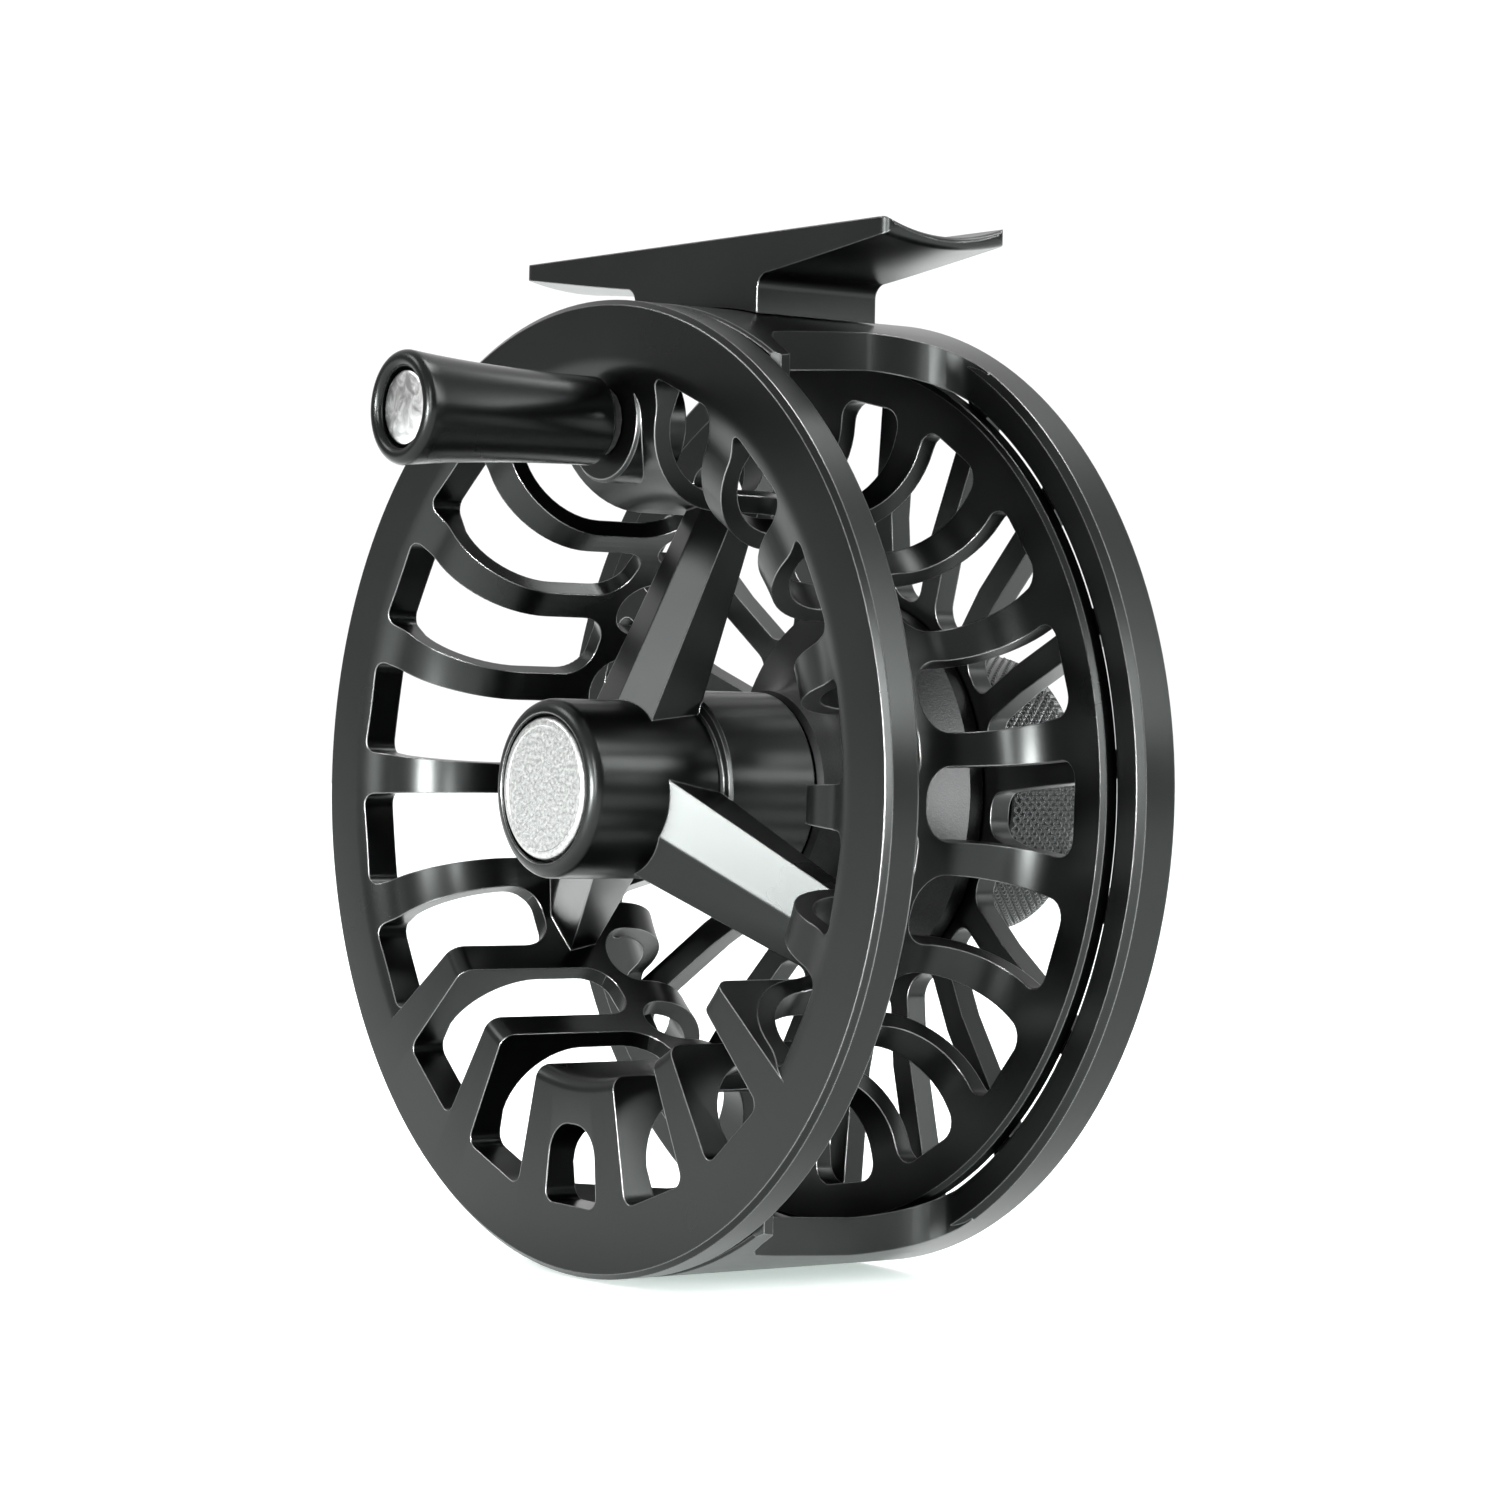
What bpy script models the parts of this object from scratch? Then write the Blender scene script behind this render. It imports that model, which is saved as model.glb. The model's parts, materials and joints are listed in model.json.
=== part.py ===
"""Large-arbor fly reel, in metres, +Z up.

The crank side faces -Y and the drag knob +Y. The foot that sits in the rod's reel seat is on top, and the
origin is the middle of its saddle. The pieces are built about the spool's axis and then moved there together.
"""

import math

import bmesh
import bpy
from mathutils import Matrix, Vector

MM = 0.001

# Running, seating and face-to-face clearances
RUNNING = 0.09 * MM
FIT = 0.15 * MM
GAP = 0.3 * MM

# Spool: the two flanges, the ventilated arbor between them and the hub
RIM_RADIUS = 50 * MM
RIM_WIDTH = 4 * MM
RIM_LAND = 6.6 * MM
SPOOL_DEPTH = 32.4 * MM
FRAME_WALL = 3.7 * MM
FLANGE_CLEARANCE = 0.4 * MM
REAR_FLANGE_RADIUS = RIM_RADIUS - FRAME_WALL - FLANGE_CLEARANCE
REAR_RIM_WIDTH = 2.2 * MM
FLANGE_STEP = 0.8 * MM
ARBOR_RADIUS = 31.5 * MM
FLANGE_WALL = 1.9 * MM
LINE_FILLET = 7.5 * MM
EDGE_CHAMFER = 0.5 * MM
RIB_COUNT = 18
SLOT_HALF_ANGLE = math.radians(6.9)
SLOT_REACH = 19 * MM
SLOT_WEB = 0.7 * MM
SLOT_TIP_RADIUS = 3.4 * MM
SLOT_CORNER = 1.3 * MM
SPOKE_SLOT_REACH = 13 * MM
SPOOL_PHASE = math.radians(-1.3)
FLAT_SECTOR_RIBS = 3
WEIGHT_SLOT_DEPTH = 8.4 * MM

HUB_RADIUS = 9.2 * MM
HUB_FRONT = -5 * MM
HUB_STEP = 10.8 * MM
HUB_REAR_RADIUS = 10.4 * MM
HUB_REAR_RECESS = 10.2 * MM
HUB_REAR = SPOOL_DEPTH - HUB_REAR_RECESS
HUB_CAP_RADIUS = 7.3 * MM
HUB_CAP_RECESS = 2.4 * MM
SPOKE_COUNT = 3
SPOKE_ROOT_WIDTH = 11.4 * MM
SPOKE_TIP_WIDTH = 8.6 * MM
SPOKE_ROOT_DEPTH = 6.4 * MM
SPOKE_TIP_DEPTH = 3.4 * MM
SPOKE_ROOT_FRONT = 4.0 * MM
SPOKE_RAKE = math.radians(26)
SPOKE_RIDGE = 1.2 * MM

# Crank handle
HANDLE_ORBIT = 37.6 * MM
HANDLE_BOSS_RADIUS = 5.8 * MM
HANDLE_BOSS_FRONT = 1 * MM
HANDLE_LENGTH = 23.4 * MM
HANDLE_END_RADIUS = 5.75 * MM
HANDLE_WAIST_RADIUS = 4.55 * MM
HANDLE_BASE = -0.3 * MM
HANDLE_BOSS_REAR = 7 * MM
HANDLE_HEAD_RADIUS = 3.75 * MM
HANDLE_HEAD_RECESS = 0.7 * MM
HANDLE_HEAD_THICKNESS = 2 * MM
HANDLE_SCREW_RADIUS = 2.1 * MM
BUSHING_WALL = 0.9 * MM
BUSHING_LENGTH = 4.5 * MM

# Spindle, bearings and clutch
SPINDLE_RADIUS = 3 * MM
SPINDLE_FRONT = -2.1 * MM
BEARING_RADIUS = 6 * MM
BEARING_WIDTH = 4 * MM
FRONT_BEARING_FRONT = 0 * MM
REAR_BEARING_FRONT = 9.6 * MM
SPACER_RADIUS = 3.9 * MM
CLUTCH_FRONT = 14.4 * MM
CLUTCH_RADIUS = 8.3 * MM
JOURNAL_RADIUS = 5.4 * MM

# Frame: back ring, two crossbars and the dished spokes that carry the drag housing
FRAME_RADIUS = RIM_RADIUS
FRAME_INNER_RADIUS = FRAME_RADIUS - FRAME_WALL
FRAME_FRONT = 4.6 * MM
RING_OVERLAP = 0.9 * MM
RING_WIDTH = 4.9 * MM
RING_FRONT = SPOOL_DEPTH - RING_OVERLAP
FRAME_REAR = RING_FRONT + RING_WIDTH
CROSSBAR_WIDTH = 32 * MM
CROSSBAR_FRONT_WIDTH = 37 * MM
CROSSBAR_FILLET = 9 * MM
LIP_DEPTH = 2.2 * MM
LIP_WIDTH = 50 * MM
FRAME_SPOKE_COUNT = 19
FRAME_SPOKE_WIDTH = 2.9 * MM
FRAME_SPOKE_DEPTH = 2.4 * MM
DISH_SETBACK = 1.9 * MM
DISH_SINK = 2.9 * MM
DISH_FRONT = RING_FRONT + DISH_SETBACK
DISH_REAR_FRONT = DISH_FRONT + DISH_SINK
HOUSING_SEAT_RADIUS = 21.3 * MM

# Drag housing
HOUSING_FRONT = HUB_REAR + GAP
HOUSING_NOSE_RADIUS = 10.6 * MM
HOUSING_FLANGE_RADIUS = 20.6 * MM
HOUSING_FLANGE_THICKNESS = 1.7 * MM
HOUSING_BARREL_RADIUS = 16.2 * MM
HOUSING_STANDOFF = 4.7 * MM
HOUSING_REAR = DISH_REAR_FRONT + HOUSING_STANDOFF
HOUSING_SCREW_COUNT = 3
HOUSING_SCREW_ORBIT = 18.7 * MM
HOUSING_SCREW_RADIUS = 0.9 * MM
HOUSING_SCREW_HEAD = 1.6 * MM
SEAL_WIDTH = 2.4 * MM
SEAL_SEAT_RADIUS = 8.7 * MM
NOSE_WALL = 3.5 * MM
DRAG_BEARING_FRONT = HOUSING_FRONT + NOSE_WALL

# Drag stack
STACK_RADIUS = 12 * MM
STACK_DEPTH = 9.9 * MM
STACK_FRONT = HOUSING_REAR - STACK_DEPTH
STACK_AIR = 0.1 * MM
CARBON_THICKNESS = 0.6 * MM
STEEL_THICKNESS = 0.5 * MM
PRESSURE_TRAVEL = 0.6 * MM
PRESSURE_PLATE_THICKNESS = 0.9 * MM
SPRING_WASHER_HEIGHT = 0.5 * MM
SPRING_WASHER_RADIUS = 8.6 * MM
EAR_WIDTH = 3 * MM
EAR_REACH = 1 * MM
COVER_RADIUS = 13.6 * MM
COVER_THICKNESS = 2.2 * MM
PIN_COUNT = 3
PIN_RADIUS = 0.8 * MM
PIN_ORBIT = 6.4 * MM

# Drag knob
KNOB_RADIUS = 15.3 * MM
KNOB_COLLAR_RADIUS = 14.4 * MM
KNOB_STANDOFF = 4 * MM
KNOB_GRIP_WIDTH = 9.7 * MM
KNOB_WEB_SETBACK = 1.4 * MM
KNOB_GRIP_FRONT = HOUSING_REAR + KNOB_STANDOFF
KNOB_REAR = KNOB_GRIP_FRONT + KNOB_GRIP_WIDTH
KNOB_WEB_FRONT = KNOB_GRIP_FRONT + KNOB_WEB_SETBACK
KNOB_WEB_THICKNESS = 2.4 * MM
KNOB_CAP_RADIUS = 9.7 * MM
KNOB_CAP_THICKNESS = 1.8 * MM
DRAG_NUT_RADIUS = 8.4 * MM
BALL_RADIUS = 1 * MM
BALL_ORBIT = 11.3 * MM
SPRING_WIRE = 0.24 * MM
SPRING_TURNS = 3

# Foot
FOOT_LENGTH = 64 * MM
FOOT_WIDTH = 15.4 * MM
FOOT_CENTRE = 20.6 * MM
FOOT_STAND = 7.1 * MM
FOOT_EDGE_HEIGHT = FRAME_RADIUS + FOOT_STAND
FOOT_SADDLE = 1.4 * MM
FOOT_ROOT_STAND = 3 * MM
FOOT_ROOT = FRAME_RADIUS + FOOT_ROOT_STAND
FOOT_TIP_THICKNESS = 1.2 * MM
STEM_LENGTH = 21.6 * MM
FOOT_CORNER = 1.2 * MM
FOOT_SCREW_SPACING = 12 * MM
FOOT_SCREW_RADIUS = 1.5 * MM
FOOT_SCREW_HEAD = 2.7 * MM
FOOT_SCREW_DEPTH = 6.4 * MM

COARSE = 16
MIDDLE = 24
FINE = 54
FRONT_UP = Matrix.Rotation(math.pi / 2, 4, "X")

for old in list(bpy.data.objects):
    bpy.data.objects.remove(old, do_unlink=True)
parts = bpy.data.collections.new("fly_reel")
cutters = bpy.data.collections.new("cutters")
bpy.context.scene.collection.children.link(parts)
bpy.context.scene.collection.children.link(cutters)


def finish(name, colour, metallic, roughness):
    """A plain Principled material, made once for each finish."""
    material = bpy.data.materials.get(name)
    if material is None:
        material = bpy.data.materials.new(name)
        material.use_nodes = True
        shader = material.node_tree.nodes["Principled BSDF"]
        shader.inputs["Base Color"].default_value = (*colour, 1)
        shader.inputs["Metallic"].default_value = metallic
        shader.inputs["Roughness"].default_value = roughness
    return material


def anodised():
    return finish("black_anodised", (0.02, 0.021, 0.022), 0.8, 0.35)


def blasted():
    return finish("blasted_aluminium", (0.6, 0.6, 0.61), 0.9, 0.5)


def steel():
    return finish("stainless_steel", (0.55, 0.55, 0.56), 1.0, 0.28)


def carbon():
    return finish("carbon_disc", (0.015, 0.015, 0.016), 0.0, 0.55)


def gloss_black():
    return finish("gloss_black", (0.01, 0.01, 0.011), 0.0, 0.12)


def brass():
    return finish("brass", (0.6, 0.42, 0.17), 1.0, 0.3)


def rubber():
    return finish("seal_rubber", (0.02, 0.02, 0.02), 0.0, 0.7)


def acetal():
    return finish("acetal_bushing", (0.75, 0.74, 0.7), 0.0, 0.45)


def place(name, mesh, material=None, matrix=None):
    """An object for the mesh: a part when it has a material, and a cutter when it has none."""
    thing = bpy.data.objects.new(name, mesh)
    thing.matrix_world = matrix or Matrix()
    if material is None:
        cutters.objects.link(thing)
        thing.hide_render = True
        thing.display_type = "WIRE"
    else:
        parts.objects.link(thing)
        mesh.materials.append(material)
    return thing


def turned(name, profile, material=None, steps=COARSE, matrix=None):
    """A solid turned about the local Z axis. The profile's points are (radius, depth), depth running down -Z.

    The outline runs down its outer side, and one with both ends on the axis stays open there.
    """
    bm = bmesh.new()
    points = [bm.verts.new((radius, 0, -depth)) for radius, depth in profile]
    for first, second in zip(points, points[1:]):
        bm.edges.new((first, second))
    if profile[0][0] > 0 or profile[-1][0] > 0:
        bm.edges.new((points[-1], points[0]))
    mesh = bpy.data.meshes.new(name)
    bm.to_mesh(mesh)
    bm.free()
    thing = place(name, mesh, material, FRONT_UP if matrix is None else matrix)
    screw = thing.modifiers.new("turn", "SCREW")
    screw.steps = steps
    screw.render_steps = steps
    screw.use_merge_vertices = True
    screw.merge_threshold = 1e-6
    screw.use_smooth_shade = True
    return thing


def ring_profile(inner, outer, front, rear, chamfer=0.0):
    if chamfer == 0:
        return [(outer, front), (outer, rear), (inner, rear), (inner, front)]
    return [
        (outer - chamfer, front),
        (outer, front + chamfer),
        (outer, rear - chamfer),
        (outer - chamfer, rear),
        (inner, rear),
        (inner, front),
    ]


def disc_profile(outer, front, rear, chamfer=0.0):
    if chamfer == 0:
        return [(0, front), (outer, front), (outer, rear), (0, rear)]
    return [
        (0, front),
        (outer - chamfer, front),
        (outer, front + chamfer),
        (outer, rear - chamfer),
        (outer - chamfer, rear),
        (0, rear),
    ]


def arc(centre, radius, start, end, steps):
    """Points of an arc, in (radius, depth) coordinates, from one angle to the other."""
    turns = [start + (end - start) * step / steps for step in range(steps + 1)]
    return [(centre[0] + radius * math.cos(turn), centre[1] + radius * math.sin(turn)) for turn in turns]


def polar(radius, angle, depth):
    """A world point at a radius and an angle about the spool's axis, at a depth along it."""
    return Vector((radius * math.cos(angle), depth, radius * math.sin(angle)))


def offset_axis(radius, angle):
    """Turned pieces on an axis that is parallel to the spool's."""
    return Matrix.Translation(polar(radius, angle, 0)) @ FRONT_UP


def block(name, front, rear, material=None):
    """A solid from a cube, with the four corners of its front and rear ends put where they are given.

    Each end lists its corners as low-left, low-right, high-right and high-left.
    """
    bm = bmesh.new()
    bmesh.ops.create_cube(bm, size=2)
    order = [(-1, -1), (1, -1), (1, 1), (-1, 1)]
    for vert in bm.verts:
        corner = order.index((round(vert.co.x), round(vert.co.z)))
        vert.co = (front if vert.co.y < 0 else rear)[corner]
    bmesh.ops.recalc_face_normals(bm, faces=bm.faces)
    mesh = bpy.data.meshes.new(name)
    bm.to_mesh(mesh)
    bm.free()
    return place(name, mesh, material)


def join_meshes(name, things):
    """One cutter holding the shapes of several, which are then removed."""
    bm = bmesh.new()
    bpy.context.view_layer.update()
    graph = bpy.context.evaluated_depsgraph_get()
    for thing in things:
        mesh = bpy.data.meshes.new_from_object(thing.evaluated_get(graph))
        mesh.transform(thing.matrix_world)
        bm.from_mesh(mesh)
        bpy.data.objects.remove(thing, do_unlink=True)
    mesh = bpy.data.meshes.new(name)
    bm.to_mesh(mesh)
    bm.free()
    return place(name, mesh)


def combine(target, other, operation):
    modifier = target.modifiers.new(other.name, "BOOLEAN")
    modifier.object = other
    modifier.operation = operation
    modifier.solver = "EXACT"


def cut(target, cutter):
    combine(target, cutter, "DIFFERENCE")


def weld_on(target, other):
    combine(target, other, "UNION")


# ---------------------------------------------------------------- spool


def line_side():
    """The side of the spool that the line lies on, from the front rim to the rear one, as (radius, depth)."""
    front = RIM_WIDTH - FLANGE_STEP
    rear = SPOOL_DEPTH - REAR_RIM_WIDTH
    low = ARBOR_RADIUS + LINE_FILLET
    points = [(RIM_RADIUS - EDGE_CHAMFER, RIM_WIDTH), (RIM_RADIUS - RIM_LAND, RIM_WIDTH)]
    points += arc((low, front + LINE_FILLET), LINE_FILLET, -math.pi / 2, -math.pi, 3)
    points += arc((low, rear - LINE_FILLET), LINE_FILLET, math.pi, math.pi / 2, 3)
    points += [(REAR_FLANGE_RADIUS - EDGE_CHAMFER, rear)]
    return points


def dish(outer, edge, sign, recess):
    """The hollow face of a flange: from the rim land, as (radius, depth), in to the arbor's inside."""
    inner = ARBOR_RADIUS - FLANGE_WALL
    fillet = LINE_FILLET + FLANGE_WALL
    low = inner + fillet
    face = edge + sign * recess
    points = [(outer, edge), (outer - 1 * MM, edge + sign * recess / 2)]
    points += arc((low, face + sign * fillet), fillet, -sign * math.pi / 2, -sign * math.pi, 3)
    return points


def spool_blank():
    """The turned blank. Its front is solid to the arbor's inside, and its rear flange is already hollow."""
    inner = ARBOR_RADIUS - FLANGE_WALL
    outline = [(RIM_RADIUS - EDGE_CHAMFER, 0), (RIM_RADIUS, EDGE_CHAMFER)]
    outline += [(RIM_RADIUS, RIM_WIDTH - EDGE_CHAMFER)]
    outline += line_side()
    rear = SPOOL_DEPTH
    outline += [(REAR_FLANGE_RADIUS, rear - REAR_RIM_WIDTH + EDGE_CHAMFER)]
    outline += [(REAR_FLANGE_RADIUS, rear - EDGE_CHAMFER), (REAR_FLANGE_RADIUS - EDGE_CHAMFER, rear)]
    outline += dish(REAR_FLANGE_RADIUS - 4 * MM, rear, -1, REAR_RIM_WIDTH - FLANGE_WALL)
    outline += [(inner, 0)]
    return turned("spool", outline, anodised(), FINE)


def rib_angle(index):
    return SPOOL_PHASE + index * 2 * math.pi / RIB_COUNT


def rib_edge():
    """The angle from the middle of a rib to its side, at the front face."""
    return math.pi / RIB_COUNT - SLOT_HALF_ANGLE


def front_dish():
    """The cut that hollows the front flange, all round but for the flat sector opposite the crank."""
    margin = 1 * MM
    inner = ARBOR_RADIUS - FLANGE_WALL - margin
    outline = dish(RIM_RADIUS - RIM_LAND + 0.6 * MM, 0, 1, RIM_WIDTH - FLANGE_STEP - FLANGE_WALL)
    outline += [(inner, outline[-1][1]), (inner, -margin), (outline[0][0], -margin)]
    half = FLAT_SECTOR_RIBS * math.pi / RIB_COUNT * 2 - math.pi / RIB_COUNT + rib_edge()
    start = -math.pi / 2 + half + SPOOL_PHASE
    sweep = 2 * math.pi - 2 * half
    bm = bmesh.new()
    face = bm.faces.new([bm.verts.new(polar(radius, start, depth)) for radius, depth in outline])
    bmesh.ops.spin(
        bm, geom=[face, *face.edges, *face.verts], axis=(0, -1, 0), cent=(0, 0, 0), angle=sweep, steps=34
    )
    bmesh.ops.remove_doubles(bm, verts=bm.verts, dist=1e-6)
    bmesh.ops.recalc_face_normals(bm, faces=bm.faces)
    mesh = bpy.data.meshes.new("front_dish")
    bm.to_mesh(mesh)
    bm.free()
    return place("front_dish", mesh)


def slot_cutter(name, angle, reach, outer, half=SLOT_HALF_ANGLE, inner=ARBOR_RADIUS - 2.9 * MM):
    """A slot that enters a flange and ends rounded in the arbor. Reach gives its two ends along the axis."""

    def end(depth):
        return [
            polar(inner, angle - half, depth),
            polar(outer, angle - half, depth),
            polar(outer, angle + half, depth),
            polar(inner, angle + half, depth),
        ]

    mouth, tip = reach
    thing = block(name, end(mouth), end(tip))
    bm = bmesh.new()
    bm.from_mesh(thing.data)
    for radius, at_tip in ((SLOT_CORNER, False), (SLOT_TIP_RADIUS, True)):
        rounded = []
        for edge in bm.edges:
            first, second = [vert.co for vert in edge.verts]
            crossing = abs(first.y - second.y) > 4 * MM
            deep = max(abs(first.y - tip), abs(second.y - tip)) < 1e-6
            rise = abs(math.hypot(first.x, first.z) - math.hypot(second.x, second.z))
            outermost = min(math.hypot(first.x, first.z), math.hypot(second.x, second.z)) > outer - 1e-5
            if at_tip and deep and rise > 5 * MM or not at_tip and crossing and outermost:
                rounded.append(edge)
        steps = 3 if at_tip else 2
        bmesh.ops.bevel(
            bm, geom=rounded, offset=radius, segments=steps, profile=0.5, affect="EDGES", material=-1
        )
    bmesh.ops.recalc_face_normals(bm, faces=bm.faces)
    bm.to_mesh(thing.data)
    bm.free()
    return thing


def spool_slots():
    """Every opening of both flanges as one cutter. The rear slots lie behind the front ribs."""
    things = []
    margin = 1 * MM
    crank = RIB_COUNT // 4
    weight = crank + RIB_COUNT // 2
    beside_spokes = (crank + RIB_COUNT // 3, crank + 2 * RIB_COUNT // 3)
    outer = RIM_RADIUS - RIM_LAND - 0.4 * MM
    rear_outer = REAR_FLANGE_RADIUS - 4 * MM
    for index in range(RIB_COUNT):
        if index not in (crank, weight):
            reach = SPOKE_SLOT_REACH if index in beside_spokes else SLOT_REACH
            things.append(slot_cutter(f"front_slot_{index}", rib_angle(index + 0.5), (-margin, reach), outer))
        reach = (SPOOL_DEPTH + margin, SLOT_REACH + SLOT_WEB)
        things.append(slot_cutter(f"rear_slot_{index}", rib_angle(index), reach, rear_outer))
    inner = outer - WEIGHT_SLOT_DEPTH
    half = SLOT_HALF_ANGLE * 0.9
    things.append(slot_cutter("weight_slot", rib_angle(weight + 0.5), (-margin, 12 * MM), outer, half, inner))
    return join_meshes("spool_slots", things)


def spoke_front(radius):
    """How deep the ridge of a spool spoke lies at this radius."""
    return SPOKE_ROOT_FRONT + (radius - HUB_RADIUS) * math.tan(SPOKE_RAKE)


def spool_spoke(index):
    """One raked spoke: a gabled front, and a section that shrinks from the hub out to the arbor."""
    angle = math.pi / 2 + SPOOL_PHASE + index * 2 * math.pi / SPOKE_COUNT
    outward = polar(1, angle, 0)
    across = polar(1, angle + math.pi / 2, 0)
    backward = Vector((0, 1, 0))
    rings = []
    bm = bmesh.new()
    tip = ARBOR_RADIUS - FLANGE_WALL + 0.9 * MM
    for radius, width, depth in (
        (HUB_RADIUS - 2 * MM, SPOKE_ROOT_WIDTH, SPOKE_ROOT_DEPTH),
        (tip, SPOKE_TIP_WIDTH, SPOKE_TIP_DEPTH),
    ):
        ridge = outward * radius + backward * spoke_front(radius)
        shoulder = backward * SPOKE_RIDGE
        heel = backward * (SPOKE_RIDGE + depth)
        side = across * width / 2
        corners = [ridge, ridge + side + shoulder, ridge + side * 0.82 + heel, ridge - side * 0.82 + heel]
        corners.append(ridge - side + shoulder)
        rings.append([bm.verts.new(corner) for corner in corners])
    bm.faces.new(rings[0])
    bm.faces.new(reversed(rings[1]))
    for near, far in zip(range(5), (1, 2, 3, 4, 0)):
        bm.faces.new([rings[0][near], rings[0][far], rings[1][far], rings[1][near]])
    bmesh.ops.recalc_face_normals(bm, faces=bm.faces)
    mesh = bpy.data.meshes.new(f"spool_spoke_{index}")
    bm.to_mesh(mesh)
    bm.free()
    return place(f"spool_spoke_{index}", mesh)


def spool_hub():
    """The bored hub: cap recess, two bearing seats and the wider seat of the one-way clutch."""
    recess = HUB_FRONT + HUB_CAP_RECESS
    front_seat_end = FRONT_BEARING_FRONT + BEARING_WIDTH + FIT
    rear_seat = REAR_BEARING_FRONT - FIT
    clutch_seat = CLUTCH_FRONT - FIT
    spacer_bore = SPACER_RADIUS + GAP
    outline = [
        (HUB_RADIUS - 0.6 * MM, HUB_FRONT),
        (HUB_RADIUS, HUB_FRONT + 0.6 * MM),
        (HUB_RADIUS, HUB_STEP),
        (HUB_REAR_RADIUS, HUB_STEP + 0.6 * MM),
        (HUB_REAR_RADIUS, HUB_REAR),
        (CLUTCH_RADIUS + FIT, HUB_REAR),
        (CLUTCH_RADIUS + FIT, clutch_seat),
        (BEARING_RADIUS + FIT, clutch_seat),
        (BEARING_RADIUS + FIT, rear_seat),
        (spacer_bore, rear_seat),
        (spacer_bore, front_seat_end),
        (BEARING_RADIUS + FIT, front_seat_end),
        (BEARING_RADIUS + FIT, recess),
        (HUB_CAP_RADIUS + GAP, recess),
        (HUB_CAP_RADIUS + GAP, HUB_FRONT),
    ]
    return turned("spool_hub", outline, steps=MIDDLE)


def make_spool():
    spool = spool_blank()
    crank_angle = math.pi / 2 + SPOOL_PHASE
    cut(spool, front_dish())
    cut(spool, spool_slots())
    boss = turned(
        "crank_boss",
        disc_profile(HANDLE_BOSS_RADIUS, HANDLE_BOSS_FRONT, HANDLE_BOSS_REAR),
        steps=28,
        matrix=offset_axis(HANDLE_ORBIT, crank_angle),
    )
    weld_on(spool, boss)
    post_bore = turned(
        "post_bore",
        disc_profile(HANDLE_SCREW_RADIUS + FIT, HANDLE_BOSS_FRONT - 1 * MM, HANDLE_BOSS_REAR + 1 * MM),
        matrix=offset_axis(HANDLE_ORBIT, crank_angle),
    )
    spokes = [spool_spoke(index) for index in range(SPOKE_COUNT)]
    for spoke in spokes:
        weld_on(spool, spoke)
    core_profile = disc_profile(HUB_RADIUS - 1 * MM, HUB_FRONT + 1 * MM, HUB_REAR - 1 * MM)
    core = turned("hub_core", core_profile, steps=MIDDLE)
    cut(spool, core)
    weld_on(spool, spool_hub())
    cut(spool, post_bore)
    return spool


def ring(name, inner, outer, front, rear, material, chamfer=0.0, steps=COARSE, matrix=None):
    return turned(name, ring_profile(inner, outer, front, rear, chamfer), material, steps, matrix)


def disc(name, outer, front, rear, material, chamfer=0.0, steps=COARSE, matrix=None):
    return turned(name, disc_profile(outer, front, rear, chamfer), material, steps, matrix)


def hexagonal_bore(name, inner, front, rear):
    """A hexagonal cutter for what is keyed onto the drag hub."""
    return turned(name, disc_profile(inner, front, rear), steps=6)


def ears(name, radius, front, rear):
    """Three ears that key a disc into the drag housing, as one shape."""
    things = []
    for index in range(PIN_COUNT):
        angle = math.pi / 6 + index * 2 * math.pi / PIN_COUNT
        across = polar(EAR_WIDTH / 2 + radius - STACK_RADIUS - EAR_REACH, angle + math.pi / 2, 0)

        def end(depth):
            low = polar(STACK_RADIUS - 1 * MM, angle, depth)
            high = polar(radius, angle, depth)
            return [low - across, high - across, high + across, low + across]

        things.append(block(f"{name}_{index}", end(front), end(rear)))
    return join_meshes(name, things)


# ---------------------------------------------------------------- hub and spindle


def make_hub_fittings():
    bore = SPINDLE_RADIUS + RUNNING
    cap_front = HUB_FRONT - 0.1 * MM
    cap_rear = HUB_FRONT + HUB_CAP_RECESS - GAP
    disc("hub_cap", HUB_CAP_RADIUS, cap_front, cap_rear, blasted(), 0.5 * MM, MIDDLE)
    for name, front in (("front_bearing", FRONT_BEARING_FRONT), ("rear_bearing", REAR_BEARING_FRONT)):
        ring(name, bore, BEARING_RADIUS, front, front + BEARING_WIDTH, steel(), 0.3 * MM)
    spacer_front = FRONT_BEARING_FRONT + BEARING_WIDTH + GAP
    ring("bearing_spacer", bore, SPACER_RADIUS, spacer_front, REAR_BEARING_FRONT - GAP, brass())
    clutch_bore = JOURNAL_RADIUS + RUNNING
    ring("one_way_clutch", clutch_bore, CLUTCH_RADIUS, CLUTCH_FRONT, HUB_REAR - GAP, steel(), 0, MIDDLE)


def knob_nut_rear():
    return KNOB_REAR - KNOB_CAP_THICKNESS - 2 * GAP


def make_spindle():
    disc("spindle", SPINDLE_RADIUS, SPINDLE_FRONT, knob_nut_rear() - GAP, steel(), 0.4 * MM)
    clip = SPINDLE_FRONT + 0.7 * MM
    ring("spindle_clip", SPINDLE_RADIUS + FIT, 4.5 * MM, clip, clip + 0.8 * MM, steel())


# ---------------------------------------------------------------- crank handle


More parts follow.
